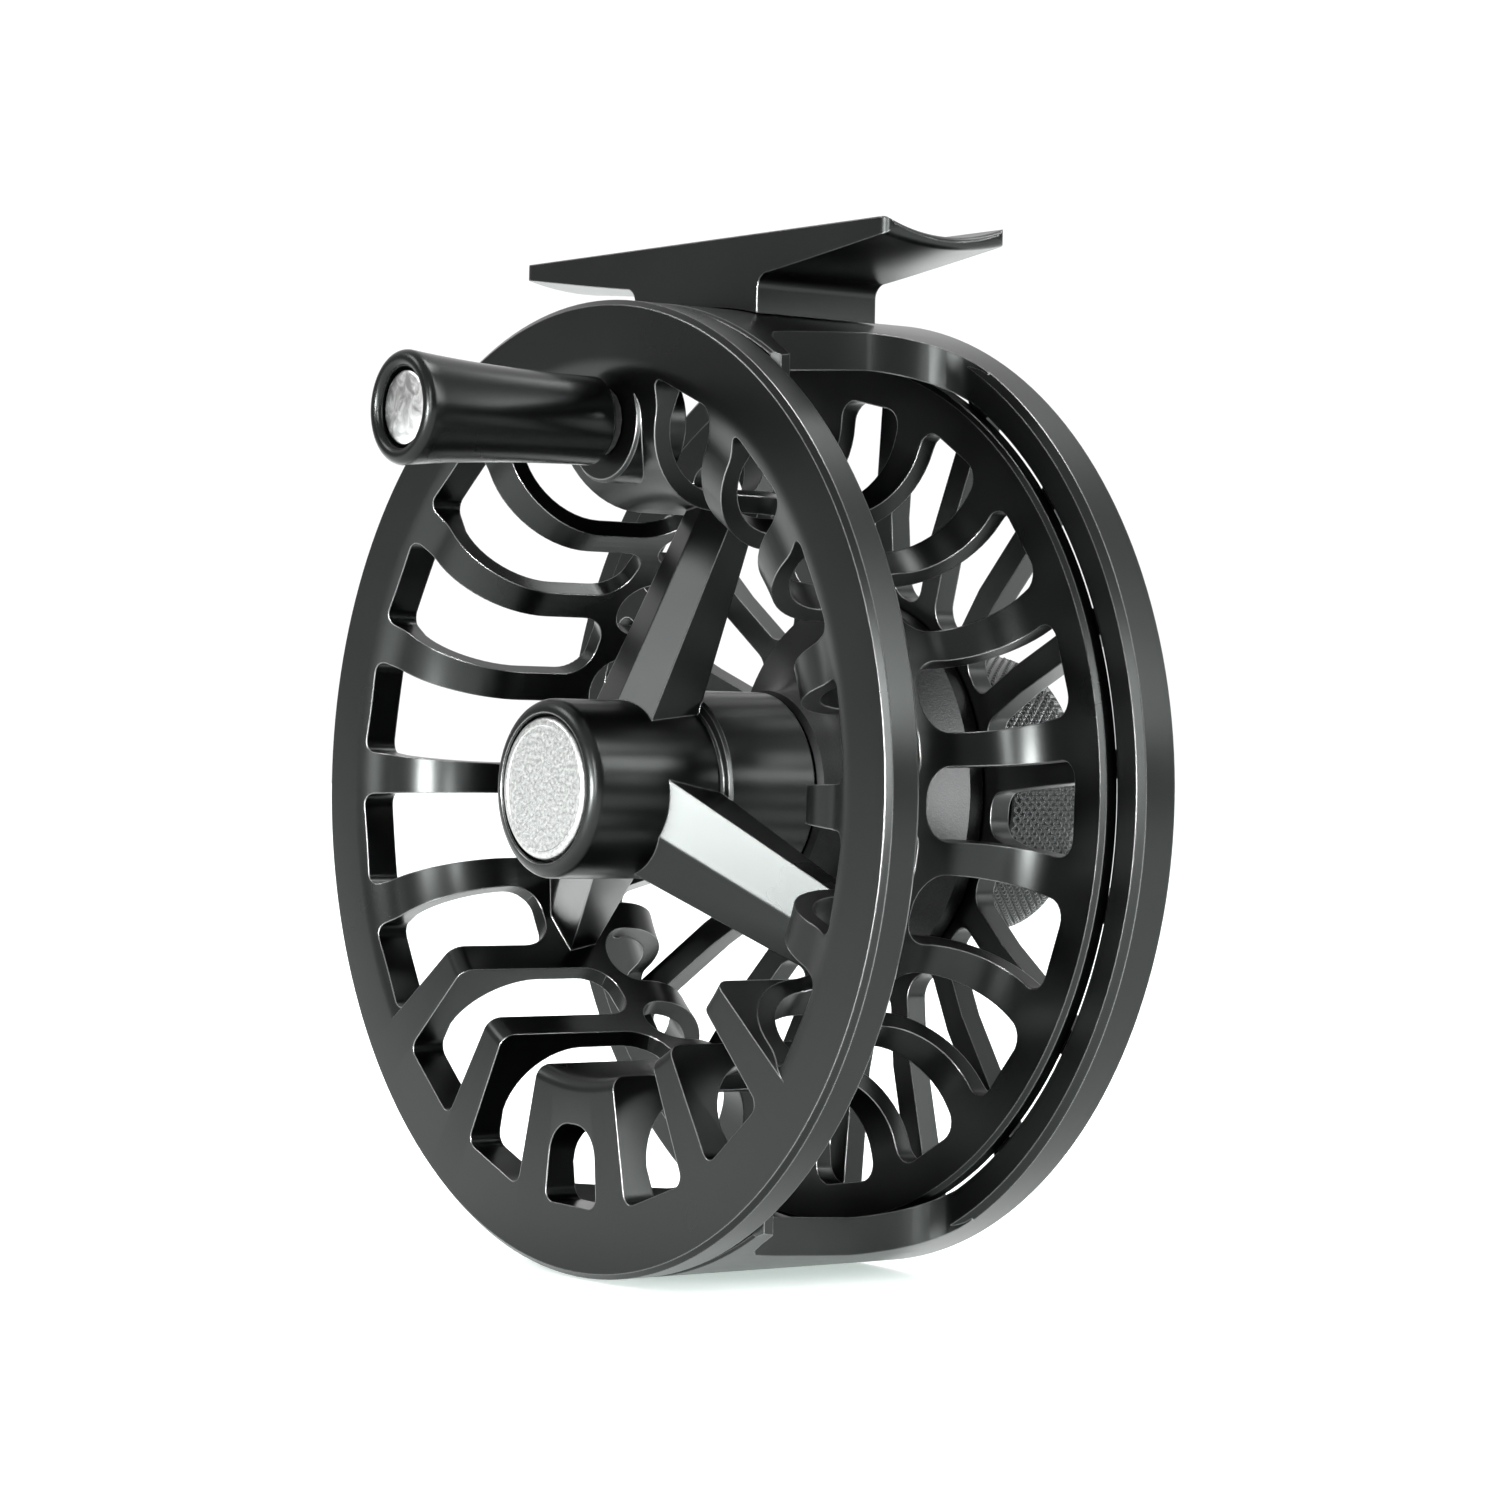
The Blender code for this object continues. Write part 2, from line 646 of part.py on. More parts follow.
def make_handle():
    seat = offset_axis(HANDLE_ORBIT, math.pi / 2 + SPOOL_PHASE)
    end = HANDLE_BASE - HANDLE_LENGTH
    span = HANDLE_LENGTH
    head_front = end + HANDLE_HEAD_RECESS
    head_rear = head_front + HANDLE_HEAD_THICKNESS
    bushing_radius = HANDLE_SCREW_RADIUS + RUNNING + BUSHING_WALL
    counterbore = head_rear + GAP
    bore = bushing_radius + FIT
    flare = HANDLE_END_RADIUS - HANDLE_WAIST_RADIUS
    outline = [
        (HANDLE_END_RADIUS - 0.5 * MM, end),
        (HANDLE_END_RADIUS, end + 0.5 * MM),
        (HANDLE_WAIST_RADIUS + 0.72 * flare, end + 0.2 * span),
        (HANDLE_WAIST_RADIUS + 0.3 * flare, end + 0.45 * span),
        (HANDLE_WAIST_RADIUS + 0.06 * flare, end + 0.75 * span),
        (HANDLE_WAIST_RADIUS, HANDLE_BASE),
        (bore, HANDLE_BASE),
        (bore, counterbore),
        (HANDLE_HEAD_RADIUS + GAP, counterbore),
        (HANDLE_HEAD_RADIUS + GAP, end),
    ]
    turned("handle_knob", outline, gloss_black(), 24, seat)
    inner = HANDLE_SCREW_RADIUS + RUNNING
    outer_front = counterbore + GAP
    inner_rear = HANDLE_BASE - GAP
    inner_front = inner_rear - BUSHING_LENGTH
    for name, front in (("handle_bushing_outer", outer_front), ("handle_bushing_inner", inner_front)):
        ring(name, inner, bushing_radius, front, front + BUSHING_LENGTH, acetal(), 0, COARSE, seat)
    screw_outline = [
        (0, head_front),
        (HANDLE_HEAD_RADIUS - 0.4 * MM, head_front),
        (HANDLE_HEAD_RADIUS, head_front + 0.4 * MM),
        (HANDLE_HEAD_RADIUS, head_rear),
        (HANDLE_SCREW_RADIUS, head_rear),
        (HANDLE_SCREW_RADIUS, HANDLE_BOSS_REAR - 0.5 * MM),
        (0, HANDLE_BOSS_REAR - 0.5 * MM),
    ]
    turned("handle_screw", screw_outline, steel(), 20, seat)
    washer_front = HANDLE_BASE + FIT
    washer_inner = HANDLE_SCREW_RADIUS + FIT
    washer_rear = HANDLE_BOSS_FRONT - FIT
    washer_outer = HANDLE_WAIST_RADIUS - 1 * MM
    ring("handle_washer", washer_inner, washer_outer, washer_front, washer_rear, rubber(), 0, COARSE, seat)


# ---------------------------------------------------------------- frame


def plate(name, outline, low, high):
    """A cutter with this outline in X and Y, from one height to the other."""
    curve = bpy.data.curves.new(name, "CURVE")
    curve.dimensions = "2D"
    curve.fill_mode = "BOTH"
    curve.extrude = (high - low) / 2
    spline = curve.splines.new("POLY")
    spline.points.add(len(outline) - 1)
    for point, (across, depth) in zip(spline.points, outline):
        point.co = (across, depth, 0, 1)
    spline.use_cyclic_u = True
    drawn = bpy.data.objects.new(name + "_outline", curve)
    cutters.objects.link(drawn)
    drawn.hide_render = True
    bpy.context.view_layer.update()
    mesh = bpy.data.meshes.new_from_object(drawn.evaluated_get(bpy.context.evaluated_depsgraph_get()))
    bpy.data.objects.remove(drawn, do_unlink=True)
    bm = bmesh.new()
    bm.from_mesh(mesh)
    bmesh.ops.remove_doubles(bm, verts=bm.verts, dist=1e-7)
    bmesh.ops.recalc_face_normals(bm, faces=bm.faces)
    bmesh.ops.translate(bm, verts=bm.verts, vec=(0, 0, (low + high) / 2))
    bm.to_mesh(mesh)
    bm.free()
    return place(name, mesh)


def crossbar_outline():
    """Half-width against depth of a crossbar: a wide lip, a waist and broad fillets into the back ring."""
    lip = LIP_WIDTH / 2
    front_half = CROSSBAR_FRONT_WIDTH / 2
    half = CROSSBAR_WIDTH / 2
    lip_rear = FRAME_FRONT + LIP_DEPTH
    flare = lip - front_half
    side = [(lip - 0.8 * MM, FRAME_FRONT), (lip, FRAME_FRONT + 0.8 * MM), (lip - 0.4 * MM, lip_rear)]
    side += [(front_half + 0.4 * flare, lip_rear + 0.5 * MM), (front_half, lip_rear + 0.45 * flare)]
    root = RING_FRONT + 0.5 * MM
    centre = (half + CROSSBAR_FILLET, root - CROSSBAR_FILLET)
    side += arc(centre, CROSSBAR_FILLET, math.pi, math.pi / 2, 5)
    side += [(half + CROSSBAR_FILLET, root + 2 * MM)]
    mirrored = [(-across, depth) for across, depth in reversed(side)]
    return side + mirrored


def dished_back():
    """The back of the frame before its windows are cut: it dishes away from the spool towards the housing."""
    outer = FRAME_INNER_RADIUS + 1 * MM
    seat = HOUSING_SEAT_RADIUS
    inner = HOUSING_BARREL_RADIUS + GAP
    middle = (2 * seat + outer) / 3
    knee = DISH_FRONT + 0.42 * (DISH_REAR_FRONT - DISH_FRONT)
    front = [(outer, DISH_FRONT), (middle, knee), (seat, DISH_REAR_FRONT), (inner, DISH_REAR_FRONT)]
    outline = [(radius, depth + FRAME_SPOKE_DEPTH) for radius, depth in front]
    return turned("dished_back", front[:1] + outline + front[:0:-1], steps=FINE)


def window_cutter(index):
    """One window between two spokes of the frame's back. Its sides are parallel to the spokes."""
    pitch = 2 * math.pi / FRAME_SPOKE_COUNT
    first = math.pi / 2 + (index + 0.5) * pitch
    second = first + pitch
    half = FRAME_SPOKE_WIDTH / 2
    corners = []
    for radius, swap in ((HOUSING_SEAT_RADIUS + 0.6 * MM, False), (FRAME_INNER_RADIUS - 0.2 * MM, True)):
        lean = math.asin(half / radius)
        pair = [first + lean, second - lean]
        corners += [(radius, turn) for turn in (reversed(pair) if swap else pair)]
    front = [polar(radius, turn, RING_FRONT - 1 * MM) for radius, turn in corners]
    rear = [polar(radius, turn, DISH_REAR_FRONT + 4 * MM) for radius, turn in corners]
    thing = block(f"frame_window_{index}", front, rear)
    bm = bmesh.new()
    bm.from_mesh(thing.data)
    along = [edge for edge in bm.edges if abs(edge.verts[0].co.y - edge.verts[1].co.y) > 1 * MM]
    bmesh.ops.bevel(bm, geom=along, offset=1.7 * MM, segments=2, profile=0.5, affect="EDGES", material=-1)
    bmesh.ops.recalc_face_normals(bm, faces=bm.faces)
    bm.to_mesh(thing.data)
    bm.free()
    return thing


def make_frame():
    outline = ring_profile(FRAME_INNER_RADIUS, FRAME_RADIUS, RING_FRONT, FRAME_REAR, 0.5 * MM)
    frame = turned("frame", outline, anodised(), FINE)
    back = dished_back()
    cut(back, join_meshes("frame_windows", [window_cutter(index) for index in range(FRAME_SPOKE_COUNT)]))
    weld_on(frame, back)
    sleeve_rear = RING_FRONT + 1 * MM
    sleeve = ring("crossbar_sleeve", FRAME_INNER_RADIUS, FRAME_RADIUS, FRAME_FRONT, sleeve_rear, None, 0, FINE)
    stencil = plate("crossbar_stencil", crossbar_outline(), -60 * MM, 60 * MM)
    combine(sleeve, stencil, "INTERSECT")
    weld_on(frame, sleeve)
    for sign in (-1, 1):
        seat = Matrix.Translation((sign * FOOT_SCREW_SPACING / 2, FOOT_CENTRE, 0))
        low = FRAME_INNER_RADIUS - 1 * MM
        floor = FRAME_INNER_RADIUS + 1.5 * MM
        high = FRAME_RADIUS + 1 * MM
        bore = [
            (0, -high),
            (FOOT_SCREW_RADIUS + FIT, -high),
            (FOOT_SCREW_RADIUS + FIT, -floor),
            (FOOT_SCREW_HEAD + FIT, -floor),
            (FOOT_SCREW_HEAD + FIT, -low),
            (0, -low),
        ]
        cut(frame, turned(f"foot_screw_bore_{(sign + 3) // 2}", bore, None, COARSE, seat))
    for index in range(HOUSING_SCREW_COUNT):
        rear = DISH_REAR_FRONT + FRAME_SPOKE_DEPTH + 1 * MM
        profile = disc_profile(HOUSING_SCREW_RADIUS + FIT, DISH_REAR_FRONT - 1 * MM, rear)
        cut(frame, turned(f"housing_screw_bore_{index}", profile, None, 12, housing_screw_seat(index)))


def housing_screw_seat(index):
    return offset_axis(HOUSING_SCREW_ORBIT, math.pi / 2 + index * 2 * math.pi / HOUSING_SCREW_COUNT)


# ---------------------------------------------------------------- foot


def make_foot():
    """A thin saddle that tapers to both tips, on a stem that sits on the top crossbar."""
    bm = bmesh.new()
    bmesh.ops.create_cube(bm, size=2)
    for axis, cuts in ((0, 11), (1, 5)):
        edges = [edge for edge in bm.edges if abs(edge.verts[0].co[axis] - edge.verts[1].co[axis]) > 1e-3]
        bmesh.ops.subdivide_edges(bm, edges=edges, cuts=cuts, use_grid_fill=True)
    corner = FOOT_CORNER / (FOOT_WIDTH / 2)
    for vert in bm.verts:
        across = vert.co.y
        along = math.copysign(1 - (1 - abs(vert.co.x)) ** 1.6, vert.co.x)
        into_corner = max(0, (abs(along) * FOOT_LENGTH / 2 - FOOT_LENGTH / 2 + FOOT_CORNER) / FOOT_CORNER)
        narrowing = 1 - corner * (1 - math.sqrt(1 - min(1, into_corner) ** 2))
        valley = FOOT_EDGE_HEIGHT - FOOT_SADDLE
        top = valley + FOOT_SADDLE * across**2
        taper = max(0, (abs(along) * FOOT_LENGTH - STEM_LENGTH) / (FOOT_LENGTH - STEM_LENGTH)) ** 1.15
        tip = valley - FOOT_TIP_THICKNESS + 0.7 * FOOT_SADDLE * across**2
        vert.co.z = top if vert.co.z > 0 else FOOT_ROOT + (tip - FOOT_ROOT) * taper
        vert.co.y = FOOT_CENTRE + across * narrowing * FOOT_WIDTH / 2
        vert.co.x = along * FOOT_LENGTH / 2
    bmesh.ops.recalc_face_normals(bm, faces=bm.faces)
    mesh = bpy.data.meshes.new("reel_foot")
    bm.to_mesh(mesh)
    bm.free()
    foot = place("reel_foot", mesh, anodised())
    half = STEM_LENGTH / 2
    near = FOOT_CENTRE - FOOT_WIDTH / 2 + 0.05 * MM
    far = FOOT_CENTRE + FOOT_WIDTH / 2 - 0.05 * MM
    low = FRAME_RADIUS - 3 * MM
    high = FOOT_ROOT + 0.8 * MM
    front = [(-half, near, low), (half, near, low), (half, near, high), (-half, near, high)]
    rear = [(-half, far, low), (half, far, low), (half, far, high), (-half, far, high)]
    stem = block("foot_stem", [Vector(p) for p in front], [Vector(p) for p in rear])
    weld_on(foot, stem)
    saddle = disc_profile(FRAME_RADIUS + FIT, -10 * MM, FRAME_REAR + 23.6 * MM)
    cut(foot, turned("crossbar_clearance", saddle, steps=FINE))
    head_low = FRAME_INNER_RADIUS - 0.3 * MM
    head_high = FRAME_INNER_RADIUS + 1.5 * MM - FIT
    tip = head_high + FOOT_SCREW_DEPTH
    for sign in (-1, 1):
        number = (sign + 3) // 2
        seat = Matrix.Translation((sign * FOOT_SCREW_SPACING / 2, FOOT_CENTRE, 0))
        hole = disc_profile(FOOT_SCREW_RADIUS + FIT, -tip - GAP, -FRAME_RADIUS + 2 * MM)
        cut(foot, turned(f"foot_thread_{number}", hole, None, COARSE, seat))
        outline = [
            (0, -tip),
            (FOOT_SCREW_RADIUS, -tip),
            (FOOT_SCREW_RADIUS, -head_high),
            (FOOT_SCREW_HEAD, -head_high),
            (FOOT_SCREW_HEAD, -head_low),
            (0, -head_low),
        ]
        turned(f"foot_screw_{number}", outline, steel(), COARSE, seat)


# ---------------------------------------------------------------- drag housing and stack


def cover_front():
    return HOUSING_REAR - COVER_THICKNESS


def make_housing():
    """The trumpet-shaped housing: a neck with the seal and bearing, a cavity for the discs and a barrel."""
    flange_rear = DISH_REAR_FRONT - GAP
    flange_front = flange_rear - HOUSING_FLANGE_THICKNESS
    nose = HOUSING_NOSE_RADIUS
    reach = HOUSING_FLANGE_RADIUS - nose
    flare = [(step / 5, (step / 5) ** 2.3) for step in range(6)]
    outline = [(nose - 0.5 * MM, HOUSING_FRONT), (nose, HOUSING_FRONT + 0.5 * MM)]
    start = HOUSING_FRONT + 2 * MM
    outline += [(nose + rise * reach, start + step * (flange_front - start)) for step, rise in flare]
    outline += [(HOUSING_FLANGE_RADIUS, flange_rear), (HOUSING_BARREL_RADIUS, flange_rear)]
    outline += [(HOUSING_BARREL_RADIUS, HOUSING_REAR - 0.5 * MM)]
    outline += [(HOUSING_BARREL_RADIUS - 0.5 * MM, HOUSING_REAR)]
    cavity = STACK_RADIUS + GAP
    bearing_end = DRAG_BEARING_FRONT + BEARING_WIDTH + FIT
    outline += [
        (COVER_RADIUS + FIT, HOUSING_REAR),
        (COVER_RADIUS + FIT, cover_front() - FIT),
        (cavity, cover_front() - FIT),
        (cavity, STACK_FRONT),
        (JOURNAL_RADIUS + GAP, STACK_FRONT),
        (JOURNAL_RADIUS + GAP, bearing_end),
        (SEAL_SEAT_RADIUS + FIT, bearing_end),
        (SEAL_SEAT_RADIUS + FIT, HOUSING_FRONT),
    ]
    housing = turned("drag_housing", outline, blasted(), 30)
    radius = STACK_RADIUS + EAR_REACH + GAP
    cut(housing, ears("ear_slots", radius, STACK_FRONT + 0.6 * MM, cover_front() + 0.5 * MM))
    for index in range(HOUSING_SCREW_COUNT):
        profile = disc_profile(HOUSING_SCREW_RADIUS + FIT, flange_front + 0.5 * MM, flange_rear + 1 * MM)
        cut(housing, turned(f"housing_thread_{index}", profile, None, 12, housing_screw_seat(index)))
        rear = DISH_REAR_FRONT + FRAME_SPOKE_DEPTH + FIT
        screw = [
            (0, flange_front + 0.7 * MM),
            (HOUSING_SCREW_RADIUS, flange_front + 0.7 * MM),
            (HOUSING_SCREW_RADIUS, rear),
            (HOUSING_SCREW_HEAD, rear),
            (HOUSING_SCREW_HEAD, rear + 1 * MM),
            (0, rear + 1 * MM),
        ]
        turned(f"housing_screw_{index + 1}", screw, steel(), 12, housing_screw_seat(index))
    seal_front = HOUSING_FRONT + 0.4 * MM
    bore = JOURNAL_RADIUS + RUNNING
    ring("drag_seal", bore, SEAL_SEAT_RADIUS, seal_front, seal_front + SEAL_WIDTH, rubber(), 0, MIDDLE)
    bearing_rear = DRAG_BEARING_FRONT + BEARING_WIDTH
    ring("drag_bearing", bore, SEAL_SEAT_RADIUS, DRAG_BEARING_FRONT, bearing_rear, steel(), 0, MIDDLE)


def hex_radius():
    """Corner radius of the hexagon on the drag hub that drives the rotor discs."""
    return JOURNAL_RADIUS + 0.2 * MM


def make_drag_hub(stack_rear):
    journal_end = STACK_FRONT - 0.2 * MM
    outline = [
        (JOURNAL_RADIUS - 0.3 * MM, CLUTCH_FRONT + 0.2 * MM),
        (JOURNAL_RADIUS, CLUTCH_FRONT + 0.5 * MM),
        (JOURNAL_RADIUS, journal_end),
        (SPINDLE_RADIUS + RUNNING, journal_end),
        (SPINDLE_RADIUS + RUNNING, CLUTCH_FRONT + 0.2 * MM),
    ]
    hub = turned("drag_hub", outline, brass(), MIDDLE)
    key = turned("drag_hub_key", disc_profile(hex_radius(), journal_end - 0.4 * MM, stack_rear), steps=6)
    spindle_clearance = disc_profile(SPINDLE_RADIUS + RUNNING, CLUTCH_FRONT - 1 * MM, stack_rear + 1 * MM)
    cut(key, turned("spindle_clearance", spindle_clearance, steps=MIDDLE))
    weld_on(hub, key)


def make_stack():
    """Four carbon discs with two rotors between them and a stator in the middle, then the pressure set."""
    depth = STACK_FRONT + STACK_AIR
    clear = hex_radius() + FIT
    order = ["carbon_disc_1", "rotor_disc_1", "carbon_disc_2", "stator_disc"]
    order += ["carbon_disc_3", "rotor_disc_2", "carbon_disc_4"]
    for name in order:
        thickness = CARBON_THICKNESS if "carbon" in name else STEEL_THICKNESS
        material = carbon() if "carbon" in name else steel()
        rear = depth + thickness
        if "rotor" in name:
            rotor = disc(name, STACK_RADIUS, depth, rear, material, 0, MIDDLE)
            cut(rotor, hexagonal_bore(name + "_bore", clear, depth - 1 * MM, rear + 1 * MM))
        else:
            made = ring(name, clear, STACK_RADIUS, depth, rear, material, 0, MIDDLE)
            if "stator" in name:
                weld_on(made, ears("stator_ears", STACK_RADIUS + EAR_REACH, depth, rear))
        depth = rear + STACK_AIR
    make_drag_hub(depth - STACK_AIR)
    plate_front = depth + PRESSURE_TRAVEL + 0.05 * MM
    plate_rear = plate_front + PRESSURE_PLATE_THICKNESS
    inner = SPINDLE_RADIUS + GAP
    pressure = ring("pressure_plate", inner, STACK_RADIUS, plate_front, plate_rear, steel(), 0, MIDDLE)
    weld_on(pressure, ears("plate_ears", STACK_RADIUS + EAR_REACH, plate_front, plate_rear))
    depth = plate_rear + STACK_AIR / 2
    leaf = 0.3 * MM
    rise = SPRING_WASHER_HEIGHT - leaf
    small = SPINDLE_RADIUS + 1.2 * MM
    for number, (at_outer, at_inner) in enumerate(((0, rise), (rise, 0))):
        outline = [
            (SPRING_WASHER_RADIUS, depth + at_outer),
            (SPRING_WASHER_RADIUS, depth + at_outer + leaf),
            (small, depth + at_inner + leaf),
            (small, depth + at_inner),
        ]
        turned(f"spring_washer_{number + 1}", outline, steel(), 24)
        depth += SPRING_WASHER_HEIGHT + STACK_AIR / 2
    make_pressure_set(depth)


def make_pressure_set(front):
    cover = ring(
        "drag_cover",
        SPINDLE_RADIUS + FIT,
        COVER_RADIUS,
        cover_front(),
        HOUSING_REAR,
        blasted(),
        0.3 * MM,
        MIDDLE,
    )
    nut_front = HOUSING_REAR + PRESSURE_TRAVEL + GAP
    nut_rear = KNOB_WEB_FRONT - GAP
    inner = SPINDLE_RADIUS + FIT
    ring("drag_nut", inner, DRAG_NUT_RADIUS, nut_front, nut_rear, brass(), 0.3 * MM, MIDDLE)
    for index in range(PIN_COUNT):
        seat = offset_axis(PIN_ORBIT, math.pi / 2 + index * 2 * math.pi / PIN_COUNT)
        profile = disc_profile(PIN_RADIUS + RUNNING, cover_front() - 1 * MM, HOUSING_REAR + 1 * MM)
        cut(cover, turned(f"pin_bore_{index}", profile, None, 12, seat))
        disc(f"push_pin_{index + 1}", PIN_RADIUS, front, nut_front - STACK_AIR / 2, steel(), 0, 12, seat)


# ---------------------------------------------------------------- drag knob


def make_knob():
    front = HOUSING_REAR + GAP
    grip = KNOB_GRIP_FRONT
    cap_front = KNOB_REAR - KNOB_CAP_THICKNESS
    web_rear = KNOB_WEB_FRONT + KNOB_WEB_THICKNESS
    outline = [
        (KNOB_COLLAR_RADIUS - 0.4 * MM, front),
        (KNOB_COLLAR_RADIUS, front + 0.4 * MM),
        (KNOB_COLLAR_RADIUS, grip - 0.4 * MM),
        (KNOB_RADIUS, grip + 0.4 * MM),
        (KNOB_RADIUS, KNOB_REAR - 0.9 * MM),
        (KNOB_RADIUS - 0.9 * MM, KNOB_REAR),
        (KNOB_CAP_RADIUS + GAP, KNOB_REAR),
        (KNOB_CAP_RADIUS + GAP, cap_front - GAP),
        (KNOB_CAP_RADIUS - 1.5 * MM, cap_front - GAP),
        (KNOB_CAP_RADIUS - 1.5 * MM, web_rear),
        (SPINDLE_RADIUS + RUNNING, web_rear),
        (SPINDLE_RADIUS + RUNNING, KNOB_WEB_FRONT),
        (DRAG_NUT_RADIUS + FIT, KNOB_WEB_FRONT),
        (DRAG_NUT_RADIUS + FIT, front),
    ]
    knob = turned("drag_knob", outline, anodised(), 40)
    seat = offset_axis(BALL_ORBIT, math.pi / 2)
    pocket_rear = front + 5.1 * MM
    pocket = disc_profile(BALL_RADIUS + FIT, front - 1 * MM, pocket_rear)
    cut(knob, turned("ball_pocket", pocket, None, 12, seat))
    ball_centre = HOUSING_REAR + FIT + BALL_RADIUS
    ball = arc((0, ball_centre), BALL_RADIUS, -math.pi / 2, math.pi / 2, 6)
    turned("detent_ball", [(abs(radius), depth) for radius, depth in ball], steel(), 12, seat)
    make_detent_spring(ball_centre + BALL_RADIUS + FIT, pocket_rear - FIT)
    disc("knob_cap", KNOB_CAP_RADIUS, cap_front, KNOB_REAR - 0.1 * MM, anodised(), 0.3 * MM, MIDDLE)
    nut_front = web_rear + GAP
    nut_rear = knob_nut_rear() - 0.6 * MM
    nut = disc("knob_nut", 5 * MM, nut_front, nut_rear, steel(), 0, 6)
    bore = disc_profile(SPINDLE_RADIUS + FIT, nut_front - 1 * MM, nut_rear + 1 * MM)
    cut(nut, turned("knob_nut_bore", bore))


def make_detent_spring(front, rear):
    """A coil spring behind the ball, its wire swept along a helix."""
    curve = bpy.data.curves.new("detent_spring", "CURVE")
    curve.dimensions = "3D"
    curve.bevel_depth = SPRING_WIRE / 2
    curve.bevel_resolution = 0
    curve.use_fill_caps = True
    steps = 8 * SPRING_TURNS
    spline = curve.splines.new("POLY")
    spline.points.add(steps)
    radius = BALL_RADIUS - SPRING_WIRE / 2 - 0.05 * MM
    low = front + SPRING_WIRE / 2
    high = rear - SPRING_WIRE / 2
    for step, point in enumerate(spline.points):
        turn = step * 2 * math.pi / 8
        depth = low + (high - low) * step / steps
        centre = polar(BALL_ORBIT, math.pi / 2, depth) + polar(radius, turn, 0)
        point.co = (*centre, 1)
    spring = bpy.data.objects.new("detent_spring", curve)
    parts.objects.link(spring)
    curve.materials.append(steel())


make_spool()
make_hub_fittings()
make_spindle()
make_handle()
make_frame()
make_foot()
make_housing()
make_stack()
make_knob()

seat_middle = Vector((0, FOOT_CENTRE, FOOT_EDGE_HEIGHT - FOOT_SADDLE))
bpy.context.view_layer.update()
for thing in bpy.data.objects:
    thing.matrix_world = Matrix.Translation(-seat_middle) @ thing.matrix_world
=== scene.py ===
import json
import math

import bmesh
import bpy
from mathutils import Matrix, Vector


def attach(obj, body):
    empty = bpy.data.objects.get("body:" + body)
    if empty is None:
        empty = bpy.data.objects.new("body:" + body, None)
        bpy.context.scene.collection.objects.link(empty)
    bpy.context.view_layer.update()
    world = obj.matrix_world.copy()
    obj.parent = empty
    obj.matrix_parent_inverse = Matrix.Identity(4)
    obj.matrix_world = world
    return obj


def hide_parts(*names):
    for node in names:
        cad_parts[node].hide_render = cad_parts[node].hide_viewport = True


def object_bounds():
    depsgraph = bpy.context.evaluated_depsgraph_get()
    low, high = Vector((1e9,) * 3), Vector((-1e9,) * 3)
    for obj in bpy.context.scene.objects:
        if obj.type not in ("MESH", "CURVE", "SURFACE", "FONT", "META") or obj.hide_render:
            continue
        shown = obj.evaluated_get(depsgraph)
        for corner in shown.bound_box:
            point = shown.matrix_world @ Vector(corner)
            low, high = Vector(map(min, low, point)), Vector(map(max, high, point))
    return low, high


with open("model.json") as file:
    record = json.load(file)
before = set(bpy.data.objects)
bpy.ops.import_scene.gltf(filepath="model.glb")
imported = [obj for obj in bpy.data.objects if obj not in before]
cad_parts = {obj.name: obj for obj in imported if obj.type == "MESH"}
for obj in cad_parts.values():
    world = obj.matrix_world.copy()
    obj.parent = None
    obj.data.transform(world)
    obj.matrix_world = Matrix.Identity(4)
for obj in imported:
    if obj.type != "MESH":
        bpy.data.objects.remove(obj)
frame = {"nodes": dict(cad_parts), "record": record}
cad_low, cad_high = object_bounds()

# ------------------------------------------------------------------ camera and studio
# The reel is looked at from the crank side and level with its hub, as on a catalogue page: white all round, a
# strong soft light in front, one high on the left, long strips on the right for the rims, and one overhead.

MM = 0.001
joints = {joint["name"]: joint for joint in frame["record"]["behaviour"]["joints"]}
spool_axis = Vector(joints["spool_spin"]["pos_m"])
crank_axis = Vector(joints["handle_spin"]["pos_m"]) - spool_axis

camera_azimuth = math.radians(53.215)
camera_roll = math.radians(1.111)
level = Vector((math.cos(camera_azimuth), math.sin(camera_azimuth), 0))
back = Vector((math.sin(camera_azimuth), -math.cos(camera_azimuth), 0.0012)).normalized()
upright = back.cross(level)
right = level * math.cos(camera_roll) + upright * math.sin(camera_roll)
up = upright * math.cos(camera_roll) - level * math.sin(camera_roll)
lens = bpy.data.cameras.new("catalogue_camera")
lens.lens = 103.03
lens.sensor_width = 36
lens.clip_start = 0.02
lens.clip_end = 20
camera = bpy.data.objects.new("catalogue_camera", lens)
bpy.context.scene.collection.objects.link(camera)
stand = spool_axis + Vector((0.36206, -0.24951, 0.00484))
camera.matrix_world = Matrix.Translation(stand) @ Matrix((right, up, back)).transposed().to_4x4()
bpy.context.scene.camera = camera
bpy.context.scene.view_settings.view_transform = "Standard"


def studio_light(name, place, size, power):
    """A rectangular softbox that faces the spool's axis. Its place is given from there."""
    light = bpy.data.lights.new(name, "AREA")
    light.shape = "RECTANGLE"
    light.size, light.size_y = size
    light.energy = power
    lamp = bpy.data.objects.new(name, light)
    lamp.location = spool_axis + Vector(place)
    lamp.rotation_mode = "QUATERNION"
    lamp.rotation_quaternion = Vector(place).to_track_quat("Z", "Y")
    bpy.context.scene.collection.objects.link(lamp)


studio_light("front_light", (0.03, -1, -0.09), (0.34, 0.3), 80)
studio_light("left_light", (-0.54, -0.61, 0.56), (0.3, 0.3), 3)
studio_light("edge_strip", (0.62, -0.85, 0.05), (0.16, 0.9), 18)
studio_light("rim_light", (0.75, 0.55, 0.55), (0.12, 0.8), 8)
studio_light("top_light", (0.05, 0.35, 1.0), (0.4, 0.5), 10)

